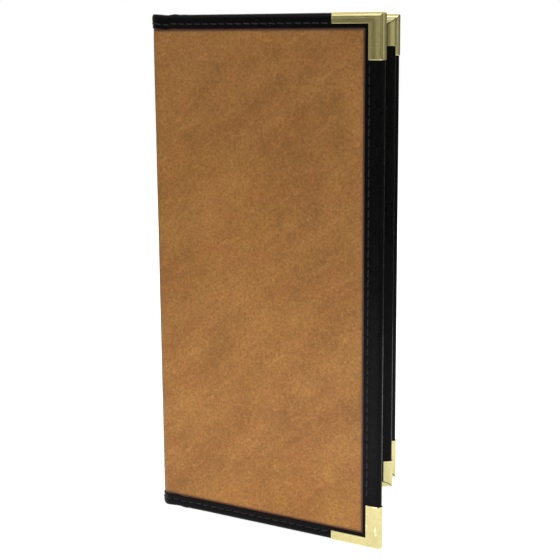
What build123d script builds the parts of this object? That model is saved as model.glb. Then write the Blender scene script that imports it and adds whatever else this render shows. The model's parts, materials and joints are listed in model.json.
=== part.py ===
"""Three-panel menu cover that stands on its lower edges, fanned open at the free side.

The frame has +Z up, the origin under the middle of the standing cover, and lengths in millimetres.
Each panel has its own coordinates: u runs from its hinge axis to its free edge, n runs across its
thickness from the middle of the panel, positive on the side that faces out of the booklet.
"""

from build123d import *
from dataclasses import dataclass
from math import cos, radians, sin, sqrt, tan
import os

os.makedirs("parts", exist_ok=True)

# Overall sizes
cover_height = 300.0
front_length = 145.0
back_length = 144.0
leaf_length = 142.0
leaf_inset = 2.0

# Plan direction of each panel at rest, in degrees from +X
quarter_turn = 90.0
front_turn = -30.5
leaf_turn = 8.0
back_turn = 15.0

# Swings that the hinge notches leave room for, in degrees
open_swing = 120.0
front_close_swing = 37.0
back_close_swing = 7.5
swing_margin = 3.0

# Thickness of a cover and its layers, outermost first; the board fills what is left
cover_thickness = 4.6
outer_lip = 0.7
leather_thickness = 0.9
lining_thickness = 0.4
sheet_slot = 0.2
film_thickness = 0.25
inner_lip = 0.45

# The leather stands this much proud of its border, which the binding presses down
field_rise = 0.1
field_gap = 0.3

# Thickness of the leaf and its lips; its core fills what is left
leaf_thickness = 4.2
leaf_lip = 0.75
tab_thickness = 1.0
tab_clearance = 0.5

# Black edge binding
top_width = 8.2
bottom_width = 7.5
side_width = 11.0
edge_wall = 1.2
thin_inner_lip = 0.6

# Spine
skin_radius = 7.4
hinge_run_length = 3.0
leaf_axis_radius = 4.4
leaf_axis_turn = 176.0
hinge_gap = 0.2
tab_gap = 0.3
thick_start = 7.0
leaf_start = 4.5
pocket_setback = 4.0

# Stamped metal corners
metal_thickness = 0.5
corner_level_width = 5.8
corner_side_width = 8.8
corner_level_arm = 31.0
corner_upright_arm = 25.0
leaf_corner_level_width = 3.6
leaf_corner_side_width = 5.8
leaf_corner_level_arm = 22.0
leaf_corner_upright_arm = 17.0
corner_radius = 1.5
mitre_slot = 0.6

# Thread
stitch_setback = 2.8
thread_width = 0.6
thread_proud = 0.2

# Levels of the layers across a cover
cover_half = cover_thickness / 2
leather_face = cover_half - outer_lip
leather_back = leather_face - leather_thickness
film_back = -cover_half + inner_lip
film_front = film_back + film_thickness
lining_back = film_front + sheet_slot
board_back = lining_back + lining_thickness

# The bending zone beside each hinge is leather and lining alone, and turns about its mid-thickness
bend_thickness = leather_thickness + lining_thickness
bend_back = leather_face - bend_thickness
hinge_level = leather_face - bend_thickness / 2
thin_back = bend_back - thin_inner_lip

# Levels across the leaf
leaf_half = leaf_thickness / 2
leaf_film_outer = leaf_half - leaf_lip
leaf_film_inner = leaf_film_outer - film_thickness
core_half = leaf_film_inner - sheet_slot

# Heights of the strip and the tab that carry the leaf, between the spine's bindings
tab_low = metal_thickness + bottom_width + tab_clearance
tab_high = cover_height - metal_thickness - top_width - tab_clearance

# Radii of the spine's layers about its own centre
lining_radius = skin_radius - bend_thickness
hinge_radius = skin_radius - bend_thickness / 2
front_normal_turn = front_turn - quarter_turn
back_normal_turn = back_turn + quarter_turn
spine_arc = front_normal_turn + 360.0 - back_normal_turn


def polar(radius: float, turn: float) -> Vector:
    """Point of the plan at a radius and a direction in degrees."""
    return Vector(radius * cos(radians(turn)), radius * sin(radians(turn)))


front_hinge = polar(hinge_radius, front_normal_turn)
back_hinge = polar(hinge_radius, back_normal_turn) + polar(hinge_run_length, back_turn)
leaf_hinge = polar(leaf_axis_radius, leaf_axis_turn)


def nose_centre(hinge: Vector, turn: float, normal_turn: float, level: float, reach: float) -> Vector:
    """Centre of the rounded free edge of a panel in the plan about the spine's centre."""
    return hinge + polar(reach, turn) - polar(level, normal_turn)


front_nose = nose_centre(
    front_hinge, front_turn, front_normal_turn, hinge_level, front_length - cover_half
)
back_nose = nose_centre(
    back_hinge, back_turn, back_normal_turn, hinge_level, back_length - cover_half
)
leaf_nose = nose_centre(
    leaf_hinge, leaf_turn, leaf_turn + quarter_turn, 0.0, leaf_length - leaf_half
)

# The spine's centre is placed so that the origin lies under the middle of the bounding box
spine_reach = skin_radius + outer_lip + thread_proud
right_reach = max(
    front_nose.X + cover_half + metal_thickness,
    back_nose.X + cover_half + metal_thickness,
    leaf_nose.X + leaf_half + metal_thickness,
)
front_reach = front_nose.Y - cover_half - metal_thickness
back_reach = back_nose.Y + cover_half + metal_thickness
spine_centre = Vector((spine_reach - right_reach) / 2, -(front_reach + back_reach) / 2)


@dataclass
class CornerSize:
    """Widths and lengths of a metal corner's level arm and of its upright arm."""

    level_width: float
    side_width: float
    level_arm: float
    upright_arm: float


@dataclass
class Panel:
    """A flat panel that turns about an upright axis.

    side is 1 where the panel's outer side lies to the left of its direction, and -1 to the right.
    low and high are the heights of its bound edges, and metal is the size of its corners.
    """

    name: str
    hinge: Vector
    turn: float
    side: int
    level: float
    length: float
    low: float
    high: float
    half: float
    metal: CornerSize

    def across(self, n: float) -> float:
        """Distance to the left of the hinge axis for a level n of the panel."""
        return self.side * (n - self.level)

    def plan(self, height: float) -> Plane:
        """Level plane whose x runs along the panel, with its origin on the hinge axis."""
        return Plane(
            origin=(self.hinge.X, self.hinge.Y, height),
            x_dir=polar(1.0, self.turn),
            z_dir=(0, 0, 1),
        )

    def section(self, u: float) -> Plane:
        """Upright plane square to the panel, whose x is the distance across and y the height."""
        foot = self.hinge + polar(u, self.turn)
        return Plane(
            origin=(foot.X, foot.Y, 0),
            x_dir=polar(1.0, self.turn + quarter_turn),
            z_dir=polar(1.0, self.turn),
        )

    def face(self, n: float) -> Plane:
        """Upright plane along the panel at a level n, whose x is u and y the height."""
        foot = self.hinge + polar(self.across(n), self.turn + quarter_turn)
        return Plane(
            origin=(foot.X, foot.Y, 0),
            x_dir=polar(1.0, self.turn),
            z_dir=polar(1.0, self.turn - quarter_turn),
        )


cover_metal = CornerSize(
    corner_level_width, corner_side_width, corner_level_arm, corner_upright_arm,
)
leaf_metal = CornerSize(
    leaf_corner_level_width, leaf_corner_side_width, leaf_corner_level_arm, leaf_corner_upright_arm,
)
front = Panel(
    "front", spine_centre + front_hinge, front_turn, -1, hinge_level, front_length,
    metal_thickness, cover_height - metal_thickness, cover_half, cover_metal,
)
back = Panel(
    "back", spine_centre + back_hinge, back_turn, 1, hinge_level, back_length,
    metal_thickness, cover_height - metal_thickness, cover_half, cover_metal,
)
middle = Panel(
    "middle", spine_centre + leaf_hinge, leaf_turn, 1, 0.0, leaf_length,
    leaf_inset + metal_thickness, cover_height - leaf_inset - metal_thickness, leaf_half, leaf_metal,
)
close_swing = {"front": front_close_swing, "back": back_close_swing}


def notch_outline(panel: Panel) -> list[tuple[float, float]]:
    """Bow-tie gap at a hinge that both sides are cut back to, in the panel's plan plane."""
    depth = cover_thickness
    outer_run = hinge_gap + depth * tan(radians(open_swing / 2 + swing_margin))
    inner_run = hinge_gap + depth * tan(radians(close_swing[panel.name] / 2 + swing_margin))
    outer = panel.side * depth
    return [
        (-hinge_gap, 0), (-outer_run, outer), (outer_run, outer),
        (hinge_gap, 0), (inner_run, -outer), (-inner_run, -outer),
    ]


def prism(panel: Panel, outline: list[tuple[float, float]], low: float, high: float,
          notched: bool = False) -> Part:
    """Upright prism of a plan outline in u and n, cut back at the hinge where it reaches it."""
    with BuildPart() as piece:
        with BuildSketch(panel.plan(low)):
            with BuildLine():
                Polyline(*[(u, panel.across(n)) for u, n in outline], close=True)
            make_face()
            if notched:
                with BuildLine():
                    Polyline(*notch_outline(panel), close=True)
                make_face(mode=Mode.SUBTRACT)
        extrude(amount=high - low)
    return piece.part


def layer(panel: Panel, near: float, far: float, under: float, over: float,
          low: float, high: float) -> Part:
    """Flat layer between two lengths, two levels and two heights of a panel."""
    return prism(panel, [(near, under), (far, under), (far, over), (near, over)], low, high)


def draw_channel(at, half: float, back_level: float, width: float,
                 inner: float, outer: float) -> None:
    """Outline of a folded binding strip, round at its edge and open towards what it holds.

    at turns a level and a depth from the edge into sketch coordinates. The strip spans the levels
    back_level to half, and holds what lies between the levels inner and outer.
    """
    middle_level = (half + back_level) / 2
    radius = (half - back_level) / 2
    ThreePointArc(at(half, radius), at(middle_level, 0), at(back_level, radius))
    Polyline(
        at(back_level, radius), at(back_level, width), at(inner, width), at(inner, edge_wall),
        at(outer, edge_wall), at(outer, width), at(half, width), at(half, radius),
    )


def draw_shell(at, half: float, width: float) -> None:
    """Outline of a metal strip of a width, folded round a rounded edge of a half thickness."""
    shell = half + metal_thickness
    ThreePointArc(at(shell, half), at(0, -metal_thickness), at(-shell, half))
    ThreePointArc(at(half, half), at(0, 0), at(-half, half))
    Polyline(at(shell, half), at(shell, width), at(half, width), at(half, half))
    Polyline(at(-shell, half), at(-shell, width), at(-half, width), at(-half, half))


def channel(panel: Panel, start: float, end: float, edge: float, inward: int, width: float,
            back_level: float, inner: float, outer: float, notched: bool = False) -> Part:
    """Level binding strip along a panel's top or bottom edge.

    inward is -1 at a top edge and 1 at a bottom edge.
    """
    def at(n: float, depth: float) -> tuple[float, float]:
        return panel.across(n), edge + inward * depth

    with BuildPart() as strip:
        with BuildSketch(panel.section(start)):
            with BuildLine():
                draw_channel(at, panel.half, back_level, width, inner, outer)
            make_face()
        extrude(amount=end - start)
        if notched:
            with BuildSketch(panel.plan(0)):
                with BuildLine():
                    Polyline(*notch_outline(panel), close=True)
                make_face()
            extrude(amount=cover_height, mode=Mode.SUBTRACT)
    return strip.part


def upright_channel(panel: Panel, inner: float, outer: float) -> Part:
    """Upright binding strip on a panel's free edge, the height of the panel."""
    def at(n: float, depth: float) -> tuple[float, float]:
        return panel.length - depth, panel.across(n)

    with BuildPart() as strip:
        with BuildSketch(panel.plan(panel.low)):
            with BuildLine():
                draw_channel(at, panel.half, -panel.half, side_width, inner, outer)
            make_face()
        extrude(amount=panel.high - panel.low)
    return strip.part


def mitre_cut(panel: Panel, strip: Part, edge: float, inward: int, width: float,
              keep_level: bool) -> Part:
    """Trims a binding strip at a free corner: at 45 degrees under the metal, then to the inner corner."""
    def at(along: float, depth: float) -> tuple[float, float]:
        return panel.length - along, edge + inward * depth

    covered = panel.metal.level_width
    line = [at(0, 0), at(covered, covered), at(side_width, width)]
    if keep_level:
        beyond = [at(side_width, 2 * width), at(0, 2 * width)]
    else:
        beyond = [at(2 * side_width, width), at(2 * side_width, 0)]
    with BuildPart() as trimmed:
        add(strip)
        with BuildSketch(panel.face(0)):
            with BuildLine():
                Polyline(*line, *beyond, close=True)
            make_face()
        extrude(amount=cover_thickness, both=True, mode=Mode.SUBTRACT)
    return trimmed.part


def corner_piece(panel: Panel, edge: float, inward: int) -> Part:
    """Stamped metal corner: an unbroken L outside, and two flaps parted by a mitre slot inside."""
    half = panel.half
    metal = panel.metal
    tip = (panel.length + metal_thickness, edge - inward * metal_thickness)
    span = 2 * metal.side_width
    lean = (metal.level_width - half) / (metal.side_width - half)
    slot_shift = mitre_slot / sqrt(2)

    def level_at(n: float, depth: float) -> tuple[float, float]:
        return panel.across(n), edge + inward * depth

    def upright_at(n: float, depth: float) -> tuple[float, float]:
        return panel.length - depth, panel.across(n)

    def mitre_at(along: float, shift: float = 0) -> tuple[float, float]:
        return panel.length - along + shift, edge + inward * (half + (along - half) * lean)

    mitre = [tip, mitre_at(half), mitre_at(span)]

    with BuildPart() as level_arm:
        with BuildSketch(panel.section(panel.length - metal.level_arm)):
            with BuildLine():
                draw_shell(level_at, half, metal.level_width)
            make_face()
        extrude(amount=metal.level_arm + metal_thickness)
        with BuildSketch(panel.face(0)):
            with BuildLine():
                Polyline(*mitre, (tip[0], tip[1] + inward * span), close=True)
            make_face()
        extrude(amount=cover_thickness, both=True, mode=Mode.SUBTRACT)

    with BuildPart() as upright_arm:
        with BuildSketch(panel.plan(min(tip[1], edge + inward * metal.upright_arm))):
            with BuildLine():
                draw_shell(upright_at, half, metal.side_width)
            make_face()
        extrude(amount=metal.upright_arm + metal_thickness)
        with BuildSketch(panel.face(0)):
            with BuildLine():
                Polyline(*mitre, (tip[0] - span, tip[1]), close=True)
            make_face()
        extrude(amount=cover_thickness, both=True, mode=Mode.SUBTRACT)

    with BuildPart() as corner:
        add(level_arm.part)
        add(upright_arm.part)
        with BuildSketch(panel.face(-half + metal_thickness)):
            with BuildLine():
                Polyline(
                    mitre_at(half, -slot_shift), mitre_at(half, slot_shift),
                    mitre_at(span, slot_shift), mitre_at(span, -slot_shift), close=True,
                )
            make_face()
        extrude(amount=panel.side * cover_thickness, mode=Mode.SUBTRACT)
        with BuildSketch(panel.face(0)):
            with Locations((tip[0] - metal.level_arm, tip[1] + inward * metal.upright_arm)):
                RectangleRounded(2 * metal.level_arm, 2 * metal.upright_arm, corner_radius)
        extrude(amount=cover_thickness, both=True, mode=Mode.INTERSECT)
    return corner.part


def stitch_lines(panel: Panel, near_outer: float, near_inner: float) -> Part:
    """Thread along the three bound edges of a panel, on both its faces."""
    level_far = panel.length - panel.metal.level_arm - thread_width
    side_far = panel.length - side_width + stitch_setback
    side_low = panel.low + panel.metal.upright_arm + thread_width
    side_high = panel.high - panel.metal.upright_arm - thread_width
    bottom_line = panel.low + bottom_width - stitch_setback
    top_line = panel.high - top_width + stitch_setback
    with BuildPart() as thread:
        for near, under in (
            (near_outer, panel.half),
            (near_inner, -panel.half - thread_proud),
        ):
            over = under + thread_proud
            for line in (bottom_line, top_line):
                add(layer(panel, near, level_far, under, over,
                          line - thread_width / 2, line + thread_width / 2))
            add(layer(panel, side_far - thread_width / 2, side_far + thread_width / 2,
                      under, over, side_low, side_high))
    return thread.part


def save(node: str, shape: Part) -> None:
    """Labels a finished piece and writes it."""
    shape.label = node
    export_step(shape, f"parts/{node}.step")


def build_corners(panel: Panel) -> None:
    """Writes the two metal corners of a panel."""
    for place, edge, inward in (("top", panel.high, -1), ("bottom", panel.low, 1)):
        save(f"{panel.name}_{place}_corner", corner_piece(panel, edge, inward))


def build_cover(panel: Panel) -> None:
    """Writes the layers, the binding, the thread and the corners of one cover."""
    far = panel.length - edge_wall
    low = panel.low + edge_wall
    high = panel.high - edge_wall

    save(f"{panel.name}_board",
         layer(panel, thick_start, far, board_back, leather_back, low, high))

    leather = [(0, leather_back), (far, leather_back), (far, leather_face), (0, leather_face)]
    with BuildPart() as skin:
        add(prism(panel, leather, low, high, notched=True))
        add(layer(panel, thick_start, panel.length - side_width - field_gap,
                  leather_face, leather_face + field_rise,
                  panel.low + bottom_width + field_gap, panel.high - top_width - field_gap))
    save(f"{panel.name}_leather", skin.part)

    lining_step = thick_start - lining_thickness
    lining = [
        (0, bend_back), (lining_step, bend_back), (lining_step, lining_back), (far, lining_back),
        (far, board_back), (thick_start, board_back), (thick_start, leather_back),
        (0, leather_back),
    ]
    save(f"{panel.name}_lining", prism(panel, lining, low, high, notched=True))

    save(f"{panel.name}_pocket",
         layer(panel, thick_start + pocket_setback, far, film_back, film_front, low, high))

    for place, edge, inward, width in (
        ("top", panel.high, -1, top_width), ("bottom", panel.low, 1, bottom_width),
    ):
        with BuildPart() as binding:
            add(channel(panel, 0, lining_step, edge, inward, width,
                        thin_back, bend_back, leather_face, notched=True))
            add(channel(panel, lining_step, panel.length, edge, inward, width,
                        -panel.half, film_back, leather_face))
        save(f"{panel.name}_{place}_binding",
             mitre_cut(panel, binding.part, edge, inward, width, keep_level=True))

    side = upright_channel(panel, film_back, leather_face)
    side = mitre_cut(panel, side, panel.high, -1, top_width, keep_level=False)
    side = mitre_cut(panel, side, panel.low, 1, bottom_width, keep_level=False)
    save(f"{panel.name}_side_binding", side)

    thread_start = hinge_gap + cover_half * tan(radians(open_swing / 2 + swing_margin))
    save(f"{panel.name}_stitching", stitch_lines(panel, thread_start, thick_start + thread_width))
    build_corners(panel)


def build_leaf(panel: Panel) -> None:
    """Writes the core, the films, the binding, the thread, the corners and the tab of the leaf."""
    far = panel.length - edge_wall
    low = panel.low + edge_wall
    high = panel.high - edge_wall

    save("middle_core", layer(panel, leaf_start, far, -core_half, core_half, low, high))
    save("middle_front_pocket",
         layer(panel, leaf_start + pocket_setback, far, -leaf_film_outer, -leaf_film_inner,
               low, high))
    save("middle_rear_pocket",
         layer(panel, leaf_start + pocket_setback, far, leaf_film_inner, leaf_film_outer,
               low, high))
    save("middle_hinge_tab",
         layer(panel, tab_gap, leaf_start, -tab_thickness / 2, tab_thickness / 2,
               tab_low, tab_high))

    for place, edge, inward, width in (
        ("top", panel.high, -1, top_width), ("bottom", panel.low, 1, bottom_width),
    ):
        strip = channel(panel, leaf_start, panel.length, edge, inward, width,
                        -panel.half, -leaf_film_outer, leaf_film_outer)
        save(f"middle_{place}_binding",
             mitre_cut(panel, strip, edge, inward, width, keep_level=True))

    side = upright_channel(panel, -leaf_film_outer, leaf_film_outer)
    side = mitre_cut(panel, side, panel.high, -1, top_width, keep_level=False)
    side = mitre_cut(panel, side, panel.low, 1, bottom_width, keep_level=False)
    save("middle_side_binding", side)

    save("middle_stitching",
         stitch_lines(panel, leaf_start + thread_width, leaf_start + thread_width))
    build_corners(panel)


def spine_ring(inner: float, outer: float, low: float, high: float) -> Part:
    """C-shaped band between two radii, cut back to both hinge notches."""
    run = polar(hinge_run_length, back_turn)
    middle_turn = back_normal_turn + spine_arc / 2
    with BuildPart() as band:
        with BuildSketch(Plane(origin=(spine_centre.X, spine_centre.Y, low))):
            with BuildLine():
                ThreePointArc(polar(outer, back_normal_turn), polar(outer, middle_turn),
                              polar(outer, front_normal_turn))
                Line(polar(outer, front_normal_turn), polar(inner, front_normal_turn))
                ThreePointArc(polar(inner, front_normal_turn), polar(inner, middle_turn),
                              polar(inner, back_normal_turn))
                Polyline(polar(inner, back_normal_turn), polar(inner, back_normal_turn) + run,
                         polar(outer, back_normal_turn) + run, polar(outer, back_normal_turn))
            make_face()
        extrude(amount=high - low)
        for panel in (front, back):
            with BuildSketch(panel.plan(low)):
                with BuildLine():
                    Polyline(*notch_outline(panel), close=True)
                make_face()
            extrude(amount=high - low, mode=Mode.SUBTRACT)
    return band.part


def spine_binding(edge: float, inward: int, width: float) -> Part:
    """Binding folded over one end of the spine, from one hinge notch to the other."""
    def at(n: float, depth: float) -> tuple[float, float]:
        return skin_radius - leather_face + n, edge + inward * depth

    centre = (spine_centre.X, spine_centre.Y, 0)
    with BuildPart() as binding:
        with BuildSketch(Plane(origin=centre, x_dir=polar(1.0, back_normal_turn),
                               z_dir=polar(1.0, back_turn))):
            with BuildLine():
                draw_channel(at, cover_half, thin_back, width, bend_back, leather_face)
            make_face()
        revolve(axis=Axis(centre, (0, 0, 1)), revolution_arc=spine_arc)
        add(channel(back, -hinge_run_length, 0, edge, inward, width, thin_back, bend_back, leather_face))
        for panel in (front, back):
            with BuildSketch(panel.plan(0)):
                with BuildLine():
                    Polyline(*notch_outline(panel), close=True)
                make_face()
            extrude(amount=cover_height, mode=Mode.SUBTRACT)
    return binding.part


def build_spine() -> None:
    """Writes the spine's leather, lining, binding, thread and the strip that carries the leaf."""
    save("spine_leather",
         spine_ring(skin_radius - leather_thickness, skin_radius,
                    edge_wall, cover_height - edge_wall))
    save("spine_lining",
         spine_ring(lining_radius, skin_radius - leather_thickness,
                    edge_wall, cover_height - edge_wall))
    save("spine_top_binding", spine_binding(cover_height, -1, top_width + metal_thickness))
    save("spine_bottom_binding", spine_binding(0, 1, bottom_width + metal_thickness))

    outer = skin_radius + outer_lip
    with BuildPart() as thread:
        for line in (front.low + bottom_width - stitch_setback,
                     front.high - top_width + stitch_setback):
            add(spine_ring(outer, outer + thread_proud,
                           line - thread_width / 2, line + thread_width / 2))
    save("spine_stitching", thread.part)

    root = sqrt(lining_radius ** 2 - (tab_thickness / 2) ** 2)
    with BuildPart() as strip:
        with BuildSketch(Plane(origin=(spine_centre.X, spine_centre.Y, tab_low),
                               x_dir=polar(1.0, leaf_axis_turn), z_dir=(0, 0, 1))):
            with Locations(((root + leaf_axis_radius + tab_gap) / 2, 0)):
                Rectangle(root - leaf_axis_radius - tab_gap, tab_thickness)
        extrude(amount=tab_high - tab_low)
    save("spine_leaf_strip", strip.part)


for cover in (front, back):
    build_cover(cover)
build_leaf(middle)
build_spine()
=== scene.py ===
"""Menu cover in brown leather with black stitched binding and brass corners, dressed on its CAD frame.

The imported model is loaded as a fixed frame. Leather, lining, binding, thread, pocket film and corners
are surfaces worked out here; the boards inside stay as they are in the frame. Working lengths are in
millimetres and become metres where a mesh is made.
"""

from __future__ import annotations

import json
import logging
import math
from dataclasses import dataclass
from enum import Enum
from typing import Callable

import bmesh
import bpy
import numpy as np
from mathutils import Matrix, Vector


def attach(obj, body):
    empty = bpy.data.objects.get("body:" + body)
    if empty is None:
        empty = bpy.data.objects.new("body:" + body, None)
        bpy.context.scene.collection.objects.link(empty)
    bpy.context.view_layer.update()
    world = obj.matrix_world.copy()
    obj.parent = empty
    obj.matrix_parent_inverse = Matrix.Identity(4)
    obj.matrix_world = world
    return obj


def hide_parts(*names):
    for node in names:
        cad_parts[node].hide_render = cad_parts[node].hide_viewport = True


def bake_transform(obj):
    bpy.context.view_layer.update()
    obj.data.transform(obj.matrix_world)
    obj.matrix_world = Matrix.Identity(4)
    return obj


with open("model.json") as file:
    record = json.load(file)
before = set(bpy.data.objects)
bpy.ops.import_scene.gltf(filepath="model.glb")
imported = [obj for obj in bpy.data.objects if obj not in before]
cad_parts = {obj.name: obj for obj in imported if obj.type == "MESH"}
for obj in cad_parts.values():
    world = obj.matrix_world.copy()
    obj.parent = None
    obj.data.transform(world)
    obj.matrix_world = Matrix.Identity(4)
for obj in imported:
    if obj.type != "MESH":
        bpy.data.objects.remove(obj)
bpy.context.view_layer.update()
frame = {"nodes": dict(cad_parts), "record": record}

LOG = logging.getLogger("menu_cover")
MM = 0.001
Array = np.ndarray
Colour = tuple[float, float, float, float]
Place = tuple[float, float, float]
Level = Callable[[Array, Array], Array]


@dataclass(frozen=True)
class Build:
    """Sizes of the booklet that the surfaces are worked out from, in millimetres and degrees.

    Levels are measured across a panel from its middle, positive towards the outside of the booklet.

    Attributes:
        height: Height of the booklet.
        metal: Thickness of the brass.
        front_turn: Plan direction of the front cover.
        leaf_turn: Plan direction of the middle leaf.
        back_turn: Plan direction of the back cover.
        front_length: Length of the front cover from the spine's arc.
        back_length: Length of the back cover from its hinge.
        leaf_length: Length of the leaf from its hinge.
        leaf_inset: How much lower than the covers the leaf is at its top and its bottom.
        hinge_run: Straight run between the spine's arc and the back hinge.
        skin_radius: Outer radius of the spine's leather.
        cover_half: Half of a cover's thickness over its binding.
        leather_face: Level of the leather's outer face.
        leather_back: Level of its inner face.
        bend_back: Level of the lining's bare face round the spine.
        thin_back: Level of the binding's inner side round the spine.
        board_back: Level of the board's inner face.
        lining_back: Level of the lining's bare face on the board.
        film_front: Level of the cover film's face towards the board.
        film_back: Level of its face towards the inside of the booklet.
        leaf_half: Half of the leaf's thickness over its binding.
        leaf_film_outer: Level of the leaf film's bare face.
        leaf_film_inner: Level of its face towards the core.
        leaf_core_half: Half of the leaf core's thickness.
        thick_start: Distance from the hinge at which a cover gets its full thickness.
        leaf_start: Distance from its hinge at which the leaf starts.
        pocket_setback: Distance of a film's open border from where its panel starts.
        edge_wall: Thickness of the binding at the edge itself.
        top_width: Width of the top binding.
        bottom_width: Width of the bottom binding.
        side_width: Width of the side binding.
        stitch_pitch: Distance from stitch to stitch.
        stitch_setback: Distance of the stitches from the binding's lip.
        tab_half: Half thickness of the leaf's fabric hinge.
        tab_low: Height of its foot.
        tab_high: Height of its top.
        tuck_end: Clearance of a tucked layer inside the side binding.
        tuck_side: Clearance of a tucked layer inside the top and bottom bindings.
    """

    height: float = 300.0
    metal: float = 0.5
    front_turn: float = -30.5
    leaf_turn: float = 8.0
    back_turn: float = 15.0
    front_length: float = 145.0
    back_length: float = 144.0
    leaf_length: float = 142.0
    leaf_inset: float = 2.0
    hinge_run: float = 3.0
    skin_radius: float = 7.4
    cover_half: float = 2.3
    leather_face: float = 1.6
    leather_back: float = 0.7
    bend_back: float = 0.3
    thin_back: float = -0.3
    board_back: float = -1.0
    lining_back: float = -1.4
    film_front: float = -1.6
    film_back: float = -1.85
    leaf_half: float = 2.1
    leaf_film_outer: float = 1.35
    leaf_film_inner: float = 1.1
    leaf_core_half: float = 0.9
    thick_start: float = 7.0
    leaf_start: float = 4.5
    pocket_setback: float = 4.0
    edge_wall: float = 1.2
    top_width: float = 8.2
    bottom_width: float = 7.5
    side_width: float = 11.0
    stitch_pitch: float = 5.5
    stitch_setback: float = 2.8
    tab_half: float = 0.5
    tab_low: float = 8.5
    tab_high: float = 290.8
    tuck_end: float = 0.1
    tuck_side: float = 0.05

    @property
    def bend_level(self) -> float:
        """Level of the middle of what bends round the spine: leather and lining."""
        return (self.leather_face + self.bend_back) / 2


BUILD = Build()


@dataclass(frozen=True)
class CornerSize:
    """Widths and lengths of a metal corner's arms, in millimetres."""

    level_width: float
    side_width: float
    level_arm: float
    upright_arm: float


COVER_METAL = CornerSize(5.8, 8.8, 31.0, 25.0)
LEAF_METAL = CornerSize(3.6, 5.8, 22.0, 17.0)


@dataclass(frozen=True)
class Gather:
    """A soft fold of the binding beside the spine: a bell of a rise, a distance and a spread."""

    rise: float
    beyond: float
    spread: float


GATHERS = (Gather(0.42, 11.0, 2.4), Gather(-0.3, 5.2, 1.6), Gather(0.12, 17.5, 2.0))


class Edge(Enum):
    """The three bound edges of a panel."""

    TOP = "top"
    SIDE = "side"
    BOTTOM = "bottom"


def polar(radius: Array | float, turn: Array | float) -> Array:
    """Plan vector of a length and a direction in degrees.

    Args:
        radius: Length, in millimetres.
        turn: Direction from +X, in degrees.

    Returns:
        Array whose last axis holds x and y.
    """
    angle = np.radians(turn)
    return np.stack(np.broadcast_arrays(radius * np.cos(angle), radius * np.sin(angle)), axis=-1)


def smooth(value: Array | float, start: float, end: float) -> Array:
    """Eases from 0 at start to 1 at end with level ends.

    Args:
        value: Where to evaluate.
        start: Value at which the ease begins.
        end: Value at which the ease is complete.

    Returns:
        The eased share, 3t squared less 2t cubed.
    """
    share = np.clip((np.asarray(value, float) - start) / (end - start), 0.0, 1.0)
    return share * share * (3.0 - 2.0 * share)


def bell(value: Array, middle: float, spread: float) -> Array:
    """Bell of height 1: e to the power of minus the square of (value - middle) / spread."""
    return np.exp(-(((value - middle) / spread) ** 2))


def joint_plan(name: str) -> Array:
    """Plan position of a joint's upright axis, in millimetres.

    Args:
        name: The joint's name in the record.

    Returns:
        x and y of the axis.
    """
    joint = next(j for j in frame["record"]["behaviour"]["joints"] if j["name"] == name)
    return np.array(joint["pos_m"][:2]) / MM


@dataclass(frozen=True)
class Panel:
    """A panel's own coordinates: s along it, n across its thickness and z up.

    Attributes:
        name: Prefix of the panel's pieces.
        body: Body that the stiff part of the panel rides on.
        reach: Value of s at the free edge.
        half: Half of the panel's thickness.
        low: Height of its bottom bound edge.
        high: Height of its top bound edge.
        stiff_from: Value of s from which the panel has its full thickness.
        root: Value of s at which its binding starts.
        under: Level of the inner side that the binding's inner lip is folded onto.
        over: Level of the outer side that the binding's outer lip is folded onto.
        metal: Size of its brass corners.
    """

    name: str
    body: str
    reach: float
    half: float
    low: float
    high: float
    stiff_from: float
    root: float
    under: float
    over: float
    metal: CornerSize

    def place(self, s: Array, n: Array, z: Array) -> Array:
        """Maps panel coordinates to the frame, in metres."""
        raise NotImplementedError

    def inner_level(self, s: Array) -> Array:
        """Level of the binding's inner side along the panel."""
        return np.full_like(np.asarray(s, float), -self.half)

    def inner_seat(self, s: Array) -> Array:
        """Level of what the binding's inner lip lies on along the panel."""
        return np.full_like(np.asarray(s, float), self.under)

    def rise(self, s: Array) -> Array:
        """How far the bound edges stand beyond their usual height."""
        return np.zeros_like(np.asarray(s, float))

    @property
    def tucked(self) -> dict[str, float]:
        """Far end, foot and top of a layer whose borders are tucked into the binding."""
        inset = BUILD.edge_wall + BUILD.tuck_side
        return {"far": self.reach - BUILD.edge_wall - BUILD.tuck_end,
                "low": self.low + inset, "high": self.high - inset}


@dataclass(frozen=True)
class LeafPanel(Panel):
    """The flat middle leaf: s is the distance from its hinge axis."""

    hinge: tuple[float, float] = (0.0, 0.0)
    turn: float = 0.0

    def place(self, s: Array, n: Array, z: Array) -> Array:
        """Maps leaf coordinates to the frame: hinge plus s along the leaf plus n to its left.

        Args:
            s: Distance from the hinge axis.
            n: Level across the leaf, positive towards the back cover.
            z: Height.

        Returns:
            Points in metres: x, y and z, then the panel coordinates, on the last axis.
        """
        s, n, z = np.broadcast_arrays(s, n, z)
        plan = np.array(self.hinge) + s[..., None] * polar(1.0, self.turn)
        plan = plan + n[..., None] * polar(1.0, self.turn + 90.0)
        own = np.stack([s, n, z], axis=-1)
        return np.concatenate([plan, z[..., None], own], axis=-1) * MM


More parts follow.
